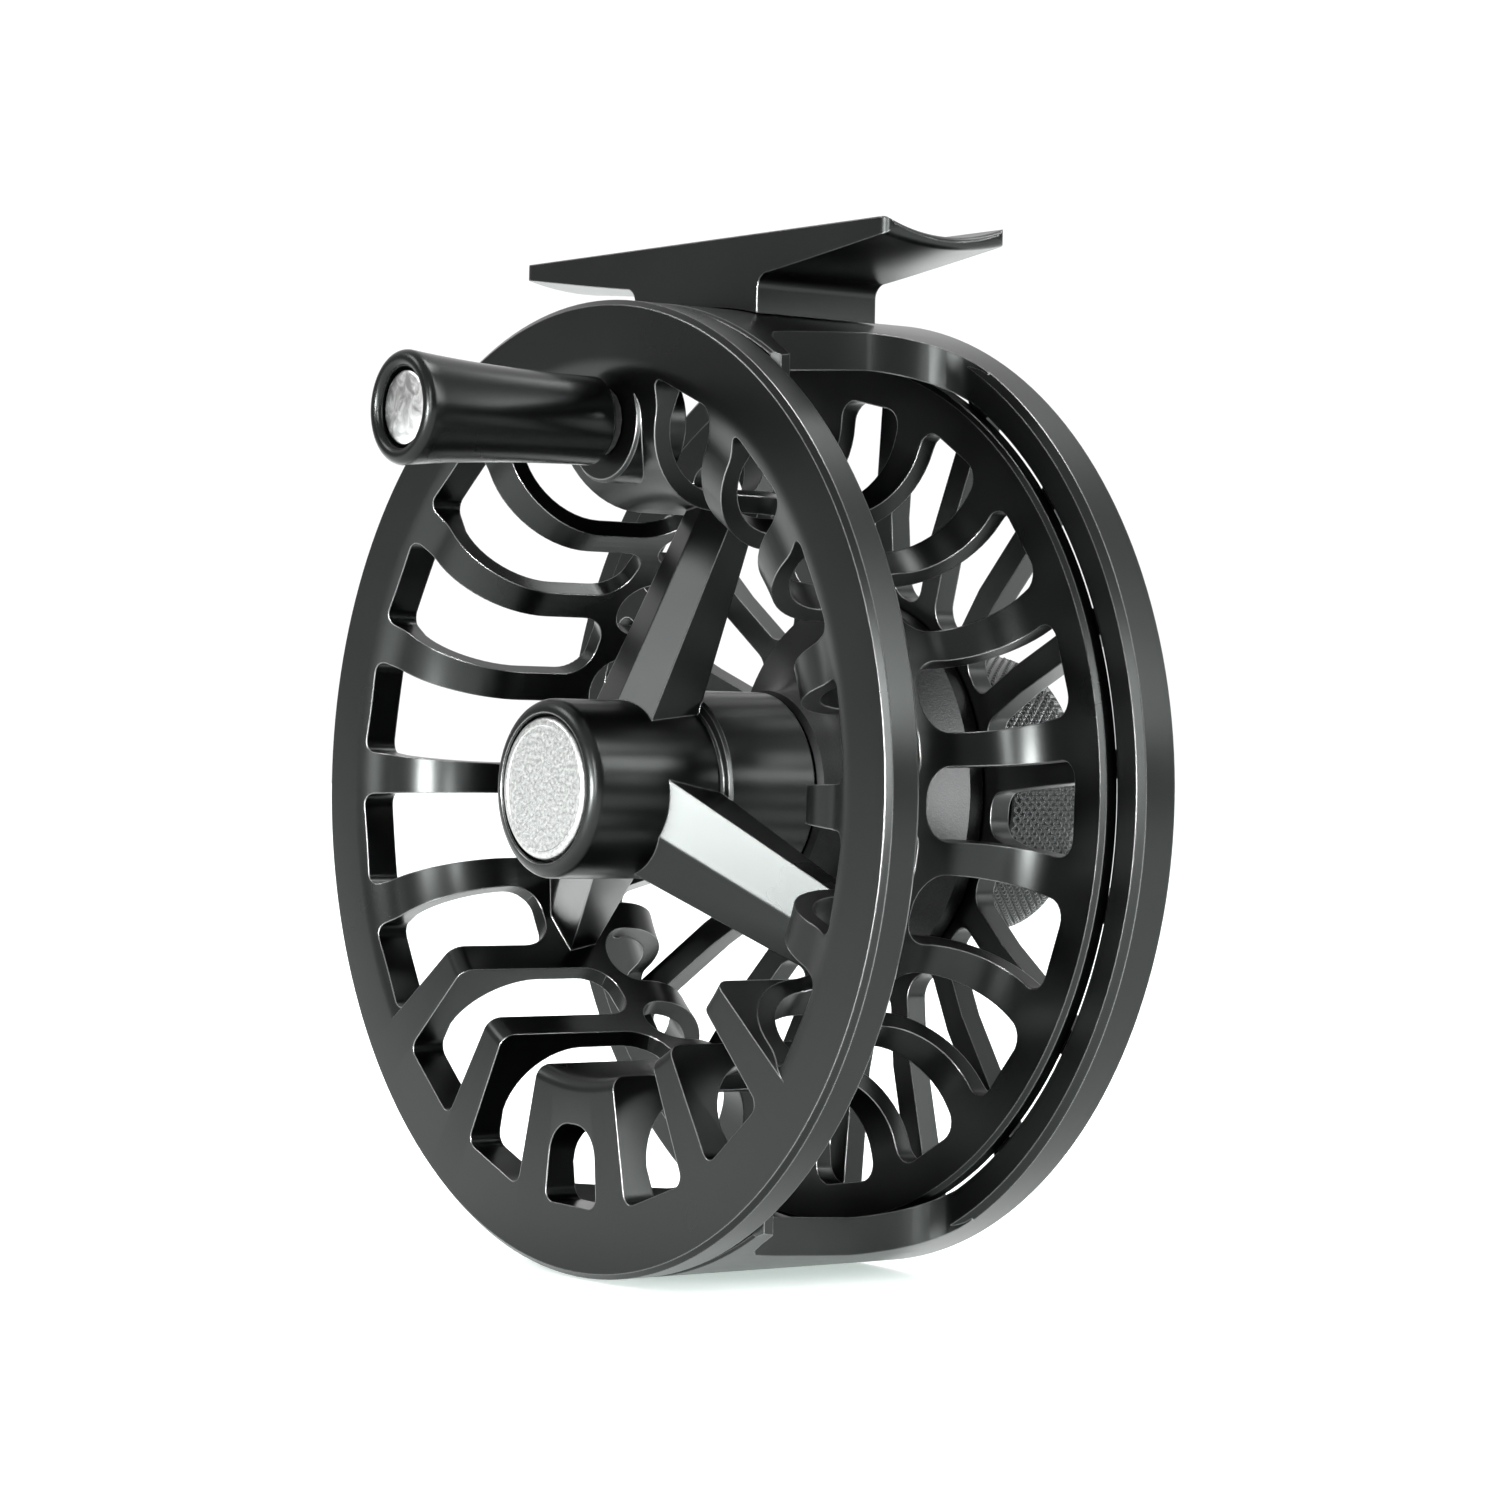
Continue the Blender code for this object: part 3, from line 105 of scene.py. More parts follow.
world = bpy.data.worlds.new("studio_white")
bpy.context.scene.world = world
world.use_nodes = True
air = world.node_tree.nodes
wires = world.node_tree.links
toward = air.new("ShaderNodeTexCoord")
behind = air.new("ShaderNodeVectorMath")
behind.operation = "DOT_PRODUCT"
behind.inputs[1].default_value = (-back.x, -back.y, 0)
wires.new(toward.outputs["Generated"], behind.inputs[0])
sweep = air.new("ShaderNodeMapRange")
sweep.interpolation_type = "SMOOTHSTEP"
sweep.inputs["From Min"].default_value = 0.7
sweep.inputs["From Max"].default_value = 0.93
wires.new(behind.outputs["Value"], sweep.inputs["Value"])
height = air.new("ShaderNodeSeparateXYZ")
wires.new(toward.outputs["Generated"], height.inputs["Vector"])
sky = air.new("ShaderNodeMapRange")
sky.interpolation_type = "SMOOTHSTEP"
sky.inputs["From Min"].default_value = 0.1
sky.inputs["From Max"].default_value = 0.85
wires.new(height.outputs["Z"], sky.inputs["Value"])
brighter = air.new("ShaderNodeMath")
brighter.operation = "MAXIMUM"
wires.new(sweep.outputs["Result"], brighter.inputs[0])
wires.new(sky.outputs["Result"], brighter.inputs[1])
glow = air.new("ShaderNodeMapRange")
glow.inputs["To Min"].default_value = 0.5
glow.inputs["To Max"].default_value = 1.05
wires.new(brighter.outputs["Value"], glow.inputs["Value"])
wires.new(glow.outputs["Result"], air["Background"].inputs["Strength"])
air["Background"].inputs["Color"].default_value = (1, 1, 1, 1)

floor_bm = bmesh.new()
bmesh.ops.create_grid(floor_bm, x_segments=1, y_segments=1, size=4)
bmesh.ops.translate(floor_bm, verts=floor_bm.verts, vec=(0, 0, cad_low.z - 0.4 * MM))
floor_mesh = bpy.data.meshes.new("studio_floor")
floor_bm.to_mesh(floor_mesh)
floor_bm.free()
studio_floor = bpy.data.objects.new("studio_floor", floor_mesh)
bpy.context.scene.collection.objects.link(studio_floor)
paper = bpy.data.materials.new("white_paper")
paper.use_nodes = True
paper_shader = paper.node_tree.nodes["Principled BSDF"]
paper_shader.inputs["Base Color"].default_value = (0.86, 0.86, 0.86, 1)
paper_shader.inputs["Roughness"].default_value = 0.9
paper_shader.inputs["Emission Color"].default_value = (0.88, 1, 0.95, 1)
paper_shader.inputs["Emission Strength"].default_value = 0.55
floor_mesh.materials.append(paper)

# ------------------------------------------------------------------ spool
# One machined piece of aluminium, anodised black: a broad front rim, a narrower rear flange, the ventilated
# arbor between them and three raked spokes to the hub. Its flat sector opposite the crank is the counterweight.

rim_radius = 50 * MM
rim_width = 4 * MM
rim_land = 6.6 * MM
spool_depth = 32.4 * MM
rear_radius = 45.9 * MM
rear_width = 2.2 * MM
arbor_radius = 31.5 * MM
wall = 1.9 * MM
line_fillet = 7.5 * MM
edge = 0.45 * MM
rib_count = 18
rib_pitch = 2 * math.pi / rib_count
slot_half = math.radians(6.9)
slot_tip = 3.4 * MM
phase = math.radians(-1.3)
up_angle = math.pi / 2 + phase
slot_inner = arbor_radius - 2.9 * MM
black_tint = (0.022, 0.0235, 0.023)
# Width of the rounded edge normals and of the painted edge highlight.
edge_round_and_highlight_width = 0.22 * MM


def black_metal(name, tint=black_tint, roughness=0.29, bright=0.5, grain=0.06, edge_width=edge_round_and_highlight_width):
    """Anodised aluminium: satin, with a faint bead-blast grain, and a painted highlight that lightens its edges
    towards a bright grey.
    """
    material = bpy.data.materials.new(name)
    material.use_nodes = True
    nodes = material.node_tree.nodes
    links = material.node_tree.links
    shader = nodes["Principled BSDF"]
    shader.inputs["Metallic"].default_value = 1
    shader.inputs["Specular IOR Level"].default_value = 0.5
    place = nodes.new("ShaderNodeTexCoord")
    clouds = nodes.new("ShaderNodeTexNoise")
    clouds.inputs["Scale"].default_value = 60
    clouds.inputs["Detail"].default_value = 4
    links.new(place.outputs["Object"], clouds.inputs["Vector"])
    rough = nodes.new("ShaderNodeMapRange")
    rough.inputs["To Min"].default_value = roughness - 0.05
    rough.inputs["To Max"].default_value = roughness + 0.05
    links.new(clouds.outputs["Fac"], rough.inputs["Value"])
    links.new(rough.outputs["Result"], shader.inputs["Roughness"])
    speck = nodes.new("ShaderNodeTexNoise")
    speck.inputs["Scale"].default_value = 9000
    speck.inputs["Detail"].default_value = 2
    links.new(place.outputs["Object"], speck.inputs["Vector"])
    bump = nodes.new("ShaderNodeBump")
    bump.inputs["Strength"].default_value = grain
    bump.inputs["Distance"].default_value = 0.02 * MM
    links.new(speck.outputs["Fac"], bump.inputs["Height"])
    rounded = nodes.new("ShaderNodeBevel")
    rounded.samples = 6
    rounded.inputs["Radius"].default_value = edge_width
    links.new(rounded.outputs["Normal"], bump.inputs["Normal"])
    links.new(bump.outputs["Normal"], shader.inputs["Normal"])
    flat = nodes.new("ShaderNodeNewGeometry")
    turn = nodes.new("ShaderNodeVectorMath")
    turn.operation = "DOT_PRODUCT"
    links.new(rounded.outputs["Normal"], turn.inputs[0])
    links.new(flat.outputs["Normal"], turn.inputs[1])
    # Painted highlight: where the rounded normal turns away from the flat one, the base colour is mixed towards the
    # bright grey.
    painted_edge_highlight = nodes.new("ShaderNodeMapRange")
    painted_edge_highlight.inputs["From Min"].default_value = 0.985
    painted_edge_highlight.inputs["From Max"].default_value = 0.9
    links.new(turn.outputs["Value"], painted_edge_highlight.inputs["Value"])
    colour = nodes.new("ShaderNodeMix")
    colour.data_type = "RGBA"
    colour.inputs["A"].default_value = (*tint, 1)
    colour.inputs["B"].default_value = (bright, bright, bright * 1.01, 1)
    scaled = nodes.new("ShaderNodeMath")
    scaled.operation = "MULTIPLY"
    scaled.inputs[1].default_value = 0.5
    links.new(painted_edge_highlight.outputs["Result"], scaled.inputs[0])
    links.new(scaled.outputs["Value"], colour.inputs["Factor"])
    links.new(colour.outputs["Result"], shader.inputs["Base Color"])
    return material


def arc(centre, radius, start, end, steps):
    """Points of an arc in a profile, whose coordinates are (radius, depth)."""
    turns = [start + (end - start) * step / steps for step in range(steps + 1)]
    return [(centre[0] + radius * math.cos(turn), centre[1] + radius * math.sin(turn)) for turn in turns]


def polar(radius, angle, depth):
    return Vector((radius * math.cos(angle), depth, radius * math.sin(angle)))


def turn_profile(profile, steps, centre=(0, 0, 0), closed=True):
    """A turned shape about an axis that lies along Y, from a profile of (radius, depth)."""
    bm = bmesh.new()
    points = [bm.verts.new((radius, depth, 0)) for radius, depth in profile]
    for first, second in zip(points, points[1:]):
        bm.edges.new((first, second))
    if closed:
        bm.edges.new((points[-1], points[0]))
    geometry = bm.verts[:] + bm.edges[:]
    turn = 2 * math.pi
    bmesh.ops.spin(bm, geom=geometry, axis=(0, 1, 0), cent=(0, 0, 0), angle=turn, steps=steps, use_merge=True)
    bmesh.ops.remove_doubles(bm, verts=bm.verts, dist=1e-7)
    bmesh.ops.recalc_face_normals(bm, faces=bm.faces)
    bmesh.ops.translate(bm, verts=bm.verts, vec=centre)
    return bm


def solid(name, bm):
    """A loose object for a shape that is still being worked on."""
    mesh = bpy.data.meshes.new(name)
    bm.to_mesh(mesh)
    bm.free()
    thing = bpy.data.objects.new(name, mesh)
    bpy.context.scene.collection.objects.link(thing)
    return thing


def apply_modifiers(thing):
    bpy.context.view_layer.update()
    graph = bpy.context.evaluated_depsgraph_get()
    mesh = bpy.data.meshes.new_from_object(thing.evaluated_get(graph))
    thing.modifiers.clear()
    thing.data = mesh


def machine(target, operation, *tools):
    """Cuts the tools out of the target, welds them on to it or keeps what they share, and clears them away."""
    for tool in tools:
        step = target.modifiers.new(tool.name, "BOOLEAN")
        step.operation = operation
        step.object = tool
        step.solver = "EXACT"
    apply_modifiers(target)
    for tool in tools:
        bpy.data.objects.remove(tool, do_unlink=True)


def finish_piece(thing, body, nodes, material, sharp=30, move=spool_axis):
    """Puts a finished shape in its place, shades it and hides the CAD nodes it stands for."""
    mesh = thing.data
    mesh.transform(Matrix.Translation(move))
    mesh.materials.clear()
    mesh.materials.append(material)
    mesh.shade_smooth()
    mesh.set_sharp_from_angle(angle=math.radians(sharp))
    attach(thing, body)
    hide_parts(*nodes)


def wedge(name, near, far):
    """A block whose two ends have the four corners that are given, in the same order round."""
    bm = bmesh.new()
    bmesh.ops.create_cube(bm, size=2)
    order = [(-1, -1), (1, -1), (1, 1), (-1, 1)]
    for vert in bm.verts:
        corner = order.index((round(vert.co.x), round(vert.co.z)))
        vert.co = (near if vert.co.y < 0 else far)[corner]
    bmesh.ops.recalc_face_normals(bm, faces=bm.faces)
    return bm


def slot_tool(name, angle, reach, outer, corner=1.4 * MM, half=slot_half, inner=slot_inner, closed=0):
    """A milling cut through a flange, ending in a full round in the arbor unless closed gives its corners there."""

    def end(depth):
        turns = (-half, -half, half, half)
        radii = (inner, outer, outer, inner)
        return [polar(radius, angle + turn, depth) for radius, turn in zip(radii, turns)]

    mouth, deep = reach
    bm = wedge(name, end(mouth), end(deep))
    for radius, segments, at_tip in ((corner, 6, False), (closed or slot_tip, 9, True)):
        if not radius:
            continue
        rounded = []
        for line in bm.edges:
            first, second = [vert.co for vert in line.verts]
            near, far = sorted((math.hypot(first.x, first.z), math.hypot(second.x, second.z)))
            crossing = abs(first.y - second.y) > 4 * MM
            inside = max(abs(first.y - deep), abs(second.y - deep)) < 1e-6
            if not at_tip:
                chosen = crossing and near > outer - 1e-5
            elif closed:
                chosen = crossing and far < inner + 1e-5
            else:
                chosen = inside and far - near > 5 * MM
            if chosen:
                rounded.append(line)
        bmesh.ops.bevel(
            bm, geom=rounded, offset=radius, segments=segments, profile=0.5, affect="EDGES", material=-1
        )
    bmesh.ops.recalc_face_normals(bm, faces=bm.faces)
    return bm


def gather(name, shapes):
    """One tool from many shapes that don't touch."""
    together = bmesh.new()
    for shape in shapes:
        mesh = bpy.data.meshes.new(name)
        shape.to_mesh(mesh)
        shape.free()
        together.from_mesh(mesh)
        bpy.data.meshes.remove(mesh)
    return solid(name, together)


def dish(outer, face_edge, sign, recess, steps=14):
    """The hollow face of a flange, from its rim in to the inside of the arbor."""
    inner = arbor_radius - wall
    fillet = line_fillet + wall
    low = inner + fillet
    face = face_edge + sign * recess
    points = []
    for step in range(10):
        share = step / 10
        sunk = recess * (0.5 - 0.5 * math.cos(math.pi * share))
        points.append((outer - (outer - low) * share, face_edge + sign * sunk))
    return points + arc((low, face + sign * fillet), fillet, -sign * math.pi / 2, -sign * math.pi, steps)


spool_steps = 180
front = rim_width - 0.8 * MM
rear = spool_depth - rear_width
low = arbor_radius + line_fillet
rim_chamfer = 0.55 * MM
blank = [(rim_radius - rim_chamfer, 0), (rim_radius, rim_chamfer)]
blank += [(rim_radius, rim_width - edge), (rim_radius - edge, rim_width), (rim_radius - rim_land, rim_width)]
blank += arc((low, front + line_fillet), line_fillet, -math.pi / 2, -math.pi, 12)
blank += arc((low, rear - line_fillet), line_fillet, math.pi, math.pi / 2, 12)
blank += [(rear_radius - edge, rear), (rear_radius, rear + edge)]
blank += [(rear_radius, spool_depth - edge), (rear_radius - edge, spool_depth)]
blank += dish(rear_radius - 4 * MM, spool_depth, -1, rear_width - wall)
mouth_round = 1.5 * MM
blank += arc((arbor_radius - wall + mouth_round, mouth_round), mouth_round, -math.pi, -math.pi / 2, 6)
spool = solid("spool_body", turn_profile(blank, spool_steps))

flat_half = math.radians(53)
hollow = dish(rim_radius - rim_land + 1 * MM, 0, 1, rim_width - 0.8 * MM - wall)
hollow += [(arbor_radius - wall - 1 * MM, hollow[-1][1]), (arbor_radius - wall - 1 * MM, -1 * MM)]
hollow += [(hollow[0][0], -1 * MM)]
hollow_bm = bmesh.new()
hollow_start = -math.pi / 2 + flat_half + phase
hollow_verts = [hollow_bm.verts.new(polar(radius, hollow_start, depth)) for radius, depth in hollow]
hollow_face = hollow_bm.faces.new(hollow_verts)
bmesh.ops.spin(
    hollow_bm,
    geom=[hollow_face, *hollow_face.edges, *hollow_face.verts],
    axis=(0, -1, 0),
    cent=(0, 0, 0),
    angle=2 * math.pi - 2 * flat_half,
    steps=127,
)
bmesh.ops.remove_doubles(hollow_bm, verts=hollow_bm.verts, dist=1e-7)
bmesh.ops.recalc_face_normals(hollow_bm, faces=hollow_bm.faces)

slots = []
rear_slots = []
rear_corners = []
slot_outer = rim_radius - rim_land - 0.4 * MM
rear_outer = rear_radius - 4 * MM
slot_reach = 19 * MM
reach_at_spoke = 13 * MM
slots_left_out = (4, 13)
slots_at_spokes = (10, 16)
for index in range(rib_count):
    if index not in slots_left_out:
        reach = reach_at_spoke if index in slots_at_spokes else slot_reach
        slots.append(slot_tool("front_slot", phase + (index + 0.5) * rib_pitch, (-1 * MM, reach), slot_outer))
    angle = phase + index * rib_pitch
    rear_slots.append(slot_tool("rear_slot", angle, (spool_depth + 1 * MM, 19.7 * MM), rear_outer, corner=0))
    form = slot_tool(
        "rear_corner",
        angle,
        (spool_depth + 2 * MM, 18.7 * MM),
        rear_outer - 0.01 * MM,
        corner=2.3 * MM,
        half=slot_half + math.radians(0.05),
        inner=arbor_radius - 4.9 * MM,
        closed=0.3 * MM,
    )
    rear_corners.append(form)
weight_angle = phase - math.pi / 2
slots.append(
    slot_tool(
        "weight_slot",
        weight_angle,
        (-1 * MM, 12 * MM),
        slot_outer,
        half=slot_half * 0.9,
        inner=slot_outer - 8.4 * MM,
        closed=3.1 * MM,
    )
)
machine(spool, "DIFFERENCE", solid("front_hollow", hollow_bm))
machine(spool, "DIFFERENCE", gather("front_slots", slots))
rear_cut = gather("rear_slots", rear_slots)
machine(rear_cut, "INTERSECT", gather("rear_corners", rear_corners))
machine(spool, "DIFFERENCE", rear_cut)

hub_radius = 9.2 * MM
hub_front = -5 * MM
hub_step = 10.8 * MM
hub_rear_radius = 10.4 * MM
hub_rear = 22.2 * MM
hub_round = 1.3 * MM
cap_seat = 7.6 * MM
cap_floor = -2.6 * MM
bearing_seat = 6.2 * MM
clutch_seat = 8.5 * MM
clutch_floor = 14.2 * MM
spoke_front = 4 * MM
spoke_rake = math.radians(26)
spoke_ridge = 1.2 * MM
spoke_root = (11.4 * MM, 6.4 * MM)
spoke_tip = (8.6 * MM, 3.4 * MM)
crank_orbit = 37.6 * MM
boss_radius = 6.2 * MM
boss_front = 1 * MM
boss_rear = 7 * MM
screw_radius = 2.25 * MM


def spoke_bm(index):
    """A raked spoke with a gabled front, thinner and narrower towards the arbor."""
    angle = up_angle + index * 2 * math.pi / 3
    outward = polar(1, angle, 0)
    across = polar(1, angle + math.pi / 2, 0)
    backward = Vector((0, 1, 0))
    bm = bmesh.new()
    rings = []
    stations = ((hub_radius - 2 * MM, *spoke_root), (arbor_radius - wall + 0.9 * MM, *spoke_tip))
    for radius, width, depth in stations:
        ridge = outward * radius + backward * (spoke_front + (radius - hub_radius) * math.tan(spoke_rake))
        side = across * width / 2
        shoulder = backward * spoke_ridge
        heel = backward * (spoke_ridge + depth)
        corners = [ridge, ridge + side + shoulder, ridge + side * 0.82 + heel, ridge - side * 0.82 + heel]
        corners.append(ridge - side + shoulder)
        rings.append([bm.verts.new(corner) for corner in corners])
    loops = [[bm.edges.new((ring[i], ring[(i + 1) % 5])) for i in range(5)] for ring in rings]
    bmesh.ops.bridge_loops(bm, edges=loops[0] + loops[1])
    bmesh.ops.holes_fill(bm, edges=bm.edges[:], sides=5)
    bmesh.ops.recalc_face_normals(bm, faces=bm.faces)
    return bm


crank = polar(crank_orbit, up_angle, 0)
boss_profile = [(0, boss_front), (boss_radius - 0.3 * MM, boss_front), (boss_radius, boss_front + 0.3 * MM)]
boss_profile += [(boss_radius, boss_rear), (0, boss_rear)]
boss = solid("crank_boss", turn_profile(boss_profile, 64, crank, closed=False))
machine(spool, "UNION", boss)
for index in range(3):
    machine(spool, "UNION", solid("spoke", spoke_bm(index)))
core = [(0, hub_front + 1 * MM), (hub_radius - 1 * MM, hub_front + 1 * MM)]
core += [(hub_radius - 1 * MM, hub_rear - 1 * MM), (0, hub_rear - 1 * MM)]
machine(spool, "DIFFERENCE", solid("hub_core", turn_profile(core, 96, closed=False)))
hub = [(cap_seat, hub_front + 0.15 * MM), (cap_seat + 0.15 * MM, hub_front)]
hub += arc((hub_radius - hub_round, hub_front + hub_round), hub_round, -math.pi / 2, 0, 8)
hub += [(hub_radius, hub_step - 0.1 * MM), (hub_radius + 0.2 * MM, hub_step + 0.15 * MM)]
hub += [(hub_rear_radius - 0.3 * MM, hub_step + 0.3 * MM), (hub_rear_radius, hub_step + 0.6 * MM)]
hub += [(hub_rear_radius, hub_rear - 0.3 * MM), (hub_rear_radius - 0.3 * MM, hub_rear)]
hub += [(clutch_seat, hub_rear), (clutch_seat, clutch_floor), (bearing_seat, clutch_floor)]
hub += [(bearing_seat, cap_floor), (cap_seat, cap_floor)]
machine(spool, "UNION", solid("hub", turn_profile(hub, 96)))
screw_hole = [(0, -1 * MM), (screw_radius, -1 * MM), (screw_radius, 9 * MM), (0, 9 * MM)]
machine(spool, "DIFFERENCE", solid("screw_hole", turn_profile(screw_hole, 32, crank, closed=False)))
spool_black = black_metal("spool_anodising")
finish_piece(spool, "spool", ["spool"], spool_black)

# ------------------------------------------------------------------ hub cap
# The silver cap that unscrews to let the spool off: turned aluminium with a coarse blasted face and a thin
# turned edge, sunk a little in the hub so that a dark ring shows round it.


def bare_metal(name, tone, roughness, grain, scale, streak=0.0, bright=1.15, dark=0.7):
    """Uncoated metal with a blasted or worn face. Streak draws the grain out round the spool's axis."""
    material = bpy.data.materials.new(name)
    material.use_nodes = True
    nodes = material.node_tree.nodes
    links = material.node_tree.links
    shader = nodes["Principled BSDF"]
    shader.inputs["Metallic"].default_value = 1
    place = nodes.new("ShaderNodeTexCoord")
    grit = nodes.new("ShaderNodeTexNoise")
    grit.inputs["Scale"].default_value = scale
    grit.inputs["Detail"].default_value = 3
    grit.inputs["Distortion"].default_value = streak
    links.new(place.outputs["Object"], grit.inputs["Vector"])
    shade = nodes.new("ShaderNodeMapRange")
    shade.inputs["From Min"].default_value = 0.35
    shade.inputs["From Max"].default_value = 0.65
    shade.inputs["To Min"].default_value = dark
    shade.inputs["To Max"].default_value = bright
    links.new(grit.outputs["Fac"], shade.inputs["Value"])
    colour = nodes.new("ShaderNodeMix")
    colour.data_type = "RGBA"
    colour.blend_type = "MULTIPLY"
    colour.inputs["Factor"].default_value = 1
    colour.inputs["A"].default_value = (*tone, 1)
    links.new(shade.outputs["Result"], colour.inputs["B"])
    links.new(colour.outputs["Result"], shader.inputs["Base Color"])
    rough = nodes.new("ShaderNodeMapRange")
    rough.inputs["To Min"].default_value = roughness - 0.06
    rough.inputs["To Max"].default_value = roughness + 0.06
    links.new(grit.outputs["Fac"], rough.inputs["Value"])
    links.new(rough.outputs["Result"], shader.inputs["Roughness"])
    bump = nodes.new("ShaderNodeBump")
    bump.inputs["Strength"].default_value = grain
    bump.inputs["Distance"].default_value = 0.05 * MM
    links.new(grit.outputs["Fac"], bump.inputs["Height"])
    links.new(bump.outputs["Normal"], shader.inputs["Normal"])
    return material


cap_radius = 7.3 * MM
cap_face = -5.02 * MM
cap_edge = -5.1 * MM
cap_round = 0.5 * MM
cap_rear = -2.9 * MM
cap = [(0, cap_face), (cap_radius - 0.95 * MM, cap_face), (cap_radius - 0.85 * MM, cap_edge)]
cap += arc((cap_radius - cap_round, cap_edge + cap_round), cap_round, -math.pi / 2, 0, 5)
cap += [(cap_radius, cap_rear), (0, cap_rear)]
hub_cap = solid("hub_cap_face", turn_profile(cap, 96, closed=False))
silver_blasted = bare_metal("silver_blasted", (0.4, 0.405, 0.4), 0.36, 0.9, 2300, bright=1.15, dark=0.75)
finish_piece(hub_cap, "spool", ["hub_cap"], silver_blasted)

# ------------------------------------------------------------------ crank handle
# A turned and polished black handle, flared to its rounded end, that spins on a shoulder screw. The silver head
# of the screw lies in the end of the handle.

handle_base = -0.3 * MM
handle_end = -23.7 * MM
end_radius = 5.75 * MM
waist_radius = 4.55 * MM
lip = 0.85 * MM
head_seat = 4.05 * MM
head_seat_depth = 2.9 * MM
head_recess = 0.7 * MM
handle_bore = 3.24 * MM
handle = [(head_seat, handle_end + head_seat_depth), (head_seat, handle_end + head_recess)]
handle += arc((head_seat + head_recess, handle_end + head_recess), head_recess, -math.pi, -math.pi / 2, 7)[1:]
handle += arc((end_radius - lip, handle_end + lip), lip, -math.pi / 2, 0, 9)
for step in range(1, 17):
    share = step / 16
    taper = (1 - share) ** 1.9 * (1 - 0.12 * math.sin(math.pi * share))
    depth = handle_end + lip + (handle_base - 0.35 * MM - handle_end - lip) * share
    handle.append((waist_radius + (end_radius - waist_radius) * taper, depth))
handle += [(waist_radius - 0.35 * MM, handle_base), (handle_bore, handle_base)]
handle += [(handle_bore, handle_end + head_seat_depth)]
handle_grip = solid("handle_grip", turn_profile(handle, 96, crank_axis))
gloss_tint = (0.018, 0.019, 0.0188)
gloss_black = black_metal("handle_lacquer", gloss_tint, 0.26, bright=0.7, grain=0.01, edge_width=0.3 * MM)
finish_piece(handle_grip, "handle", ["handle_knob"], gloss_black)

head_front = handle_end + head_recess
head_rear = head_front + 2 * MM
head_radius = 3.75 * MM
shank_radius = 2.1 * MM
shank_end = 6.5 * MM
screw = [(0, head_front), (head_radius - 0.35 * MM, head_front)]
screw += [(head_radius - 0.1 * MM, head_front + 0.1 * MM), (head_radius, head_front + 0.35 * MM)]
screw += [(head_radius, head_rear), (shank_radius, head_rear)]
screw += [(shank_radius, shank_end), (0, shank_end)]
handle_screw = solid("shoulder_screw", turn_profile(screw, 64, crank_axis, closed=False))
screw_steel = bare_metal("screw_steel", (0.66, 0.66, 0.66), 0.25, 0.5, 520, streak=1.5, dark=0.6)
finish_piece(handle_screw, "spool", ["handle_screw"], screw_steel)

# ------------------------------------------------------------------ frame
# One machined and anodised piece behind and around the spool: a stout ring, a back of thin dished spokes, and a
# crossbar above and below that flares into the ring and ends in a wider lip behind the spool's rim.

frame_radius = 50 * MM
frame_inner = 46.3 * MM
ring_front = 31.5 * MM
frame_rear = 36.4 * MM
seat_radius = 21.3 * MM
dish_front = 33.4 * MM
dish_back = 36.3 * MM
frame_spokes = 19
frame_steps = 190
ring_chamfer = 0.7 * MM
back_inner = 16.5 * MM
back_depth = 2.4 * MM
window_half_web = 1.45 * MM
window_corner = 1.7 * MM
ring = [(frame_inner + 0.2 * MM, ring_front), (frame_radius - ring_chamfer, ring_front)]
ring += [(frame_radius, ring_front + ring_chamfer), (frame_radius, frame_rear - 0.5 * MM)]
ring += [(frame_radius - 0.5 * MM, frame_rear), (frame_inner + 0.4 * MM, frame_rear)]
ring += [(frame_inner, frame_rear - 0.4 * MM), (frame_inner, ring_front + 0.2 * MM)]
frame_body = solid("frame_body", turn_profile(ring, frame_steps))

outer = frame_inner + 1 * MM
middle = (2 * seat_radius + outer) / 3
knee = dish_front + 0.42 * (dish_back - dish_front)
face = [(outer, dish_front), (middle, knee), (seat_radius, dish_back), (back_inner, dish_back)]
face_rear = [(radius, depth + back_depth) for radius, depth in face]
dished = solid("dished_back", turn_profile(face[:1] + face_rear + face[:0:-1], frame_steps))


def window_tool(index):
    """One window between two spokes, with sides parallel to the spokes and rounded corners."""
    pitch = 2 * math.pi / frame_spokes
    first = math.pi / 2 + (index + 0.5) * pitch
    corners = []
    for radius, swap in ((seat_radius + 0.6 * MM, False), (frame_inner - 0.2 * MM, True)):
        lean = math.asin(window_half_web / radius)
        pair = [first + lean, first + pitch - lean]
        corners += [(radius, turn) for turn in (reversed(pair) if swap else pair)]
    near = [polar(radius, turn, ring_front - 1 * MM) for radius, turn in corners]
    far = [polar(radius, turn, dish_back + 4 * MM) for radius, turn in corners]
    bm = wedge("window", near, far)
    along = [corner for corner in bm.edges if abs(corner.verts[0].co.y - corner.verts[1].co.y) > 1 * MM]
    bmesh.ops.bevel(bm, geom=along, offset=window_corner, segments=6, profile=0.5, affect="EDGES", material=-1)
    bmesh.ops.recalc_face_normals(bm, faces=bm.faces)
    return bm


machine(dished, "DIFFERENCE", gather("windows", [window_tool(index) for index in range(frame_spokes)]))


def outline_block(name, outline, low_z, high_z):
    """A block with this outline in X and Y, drawn up from one height to the other."""
    bm = bmesh.new()
    base = bm.faces.new([bm.verts.new((across, depth, low_z)) for across, depth in outline])
    raised = bmesh.ops.extrude_face_region(bm, geom=[base])
    top = [item for item in raised["geom"] if isinstance(item, bmesh.types.BMVert)]
    bmesh.ops.translate(bm, verts=top, vec=(0, 0, high_z - low_z))
    bmesh.ops.recalc_face_normals(bm, faces=bm.faces)
    return solid(name, bm)


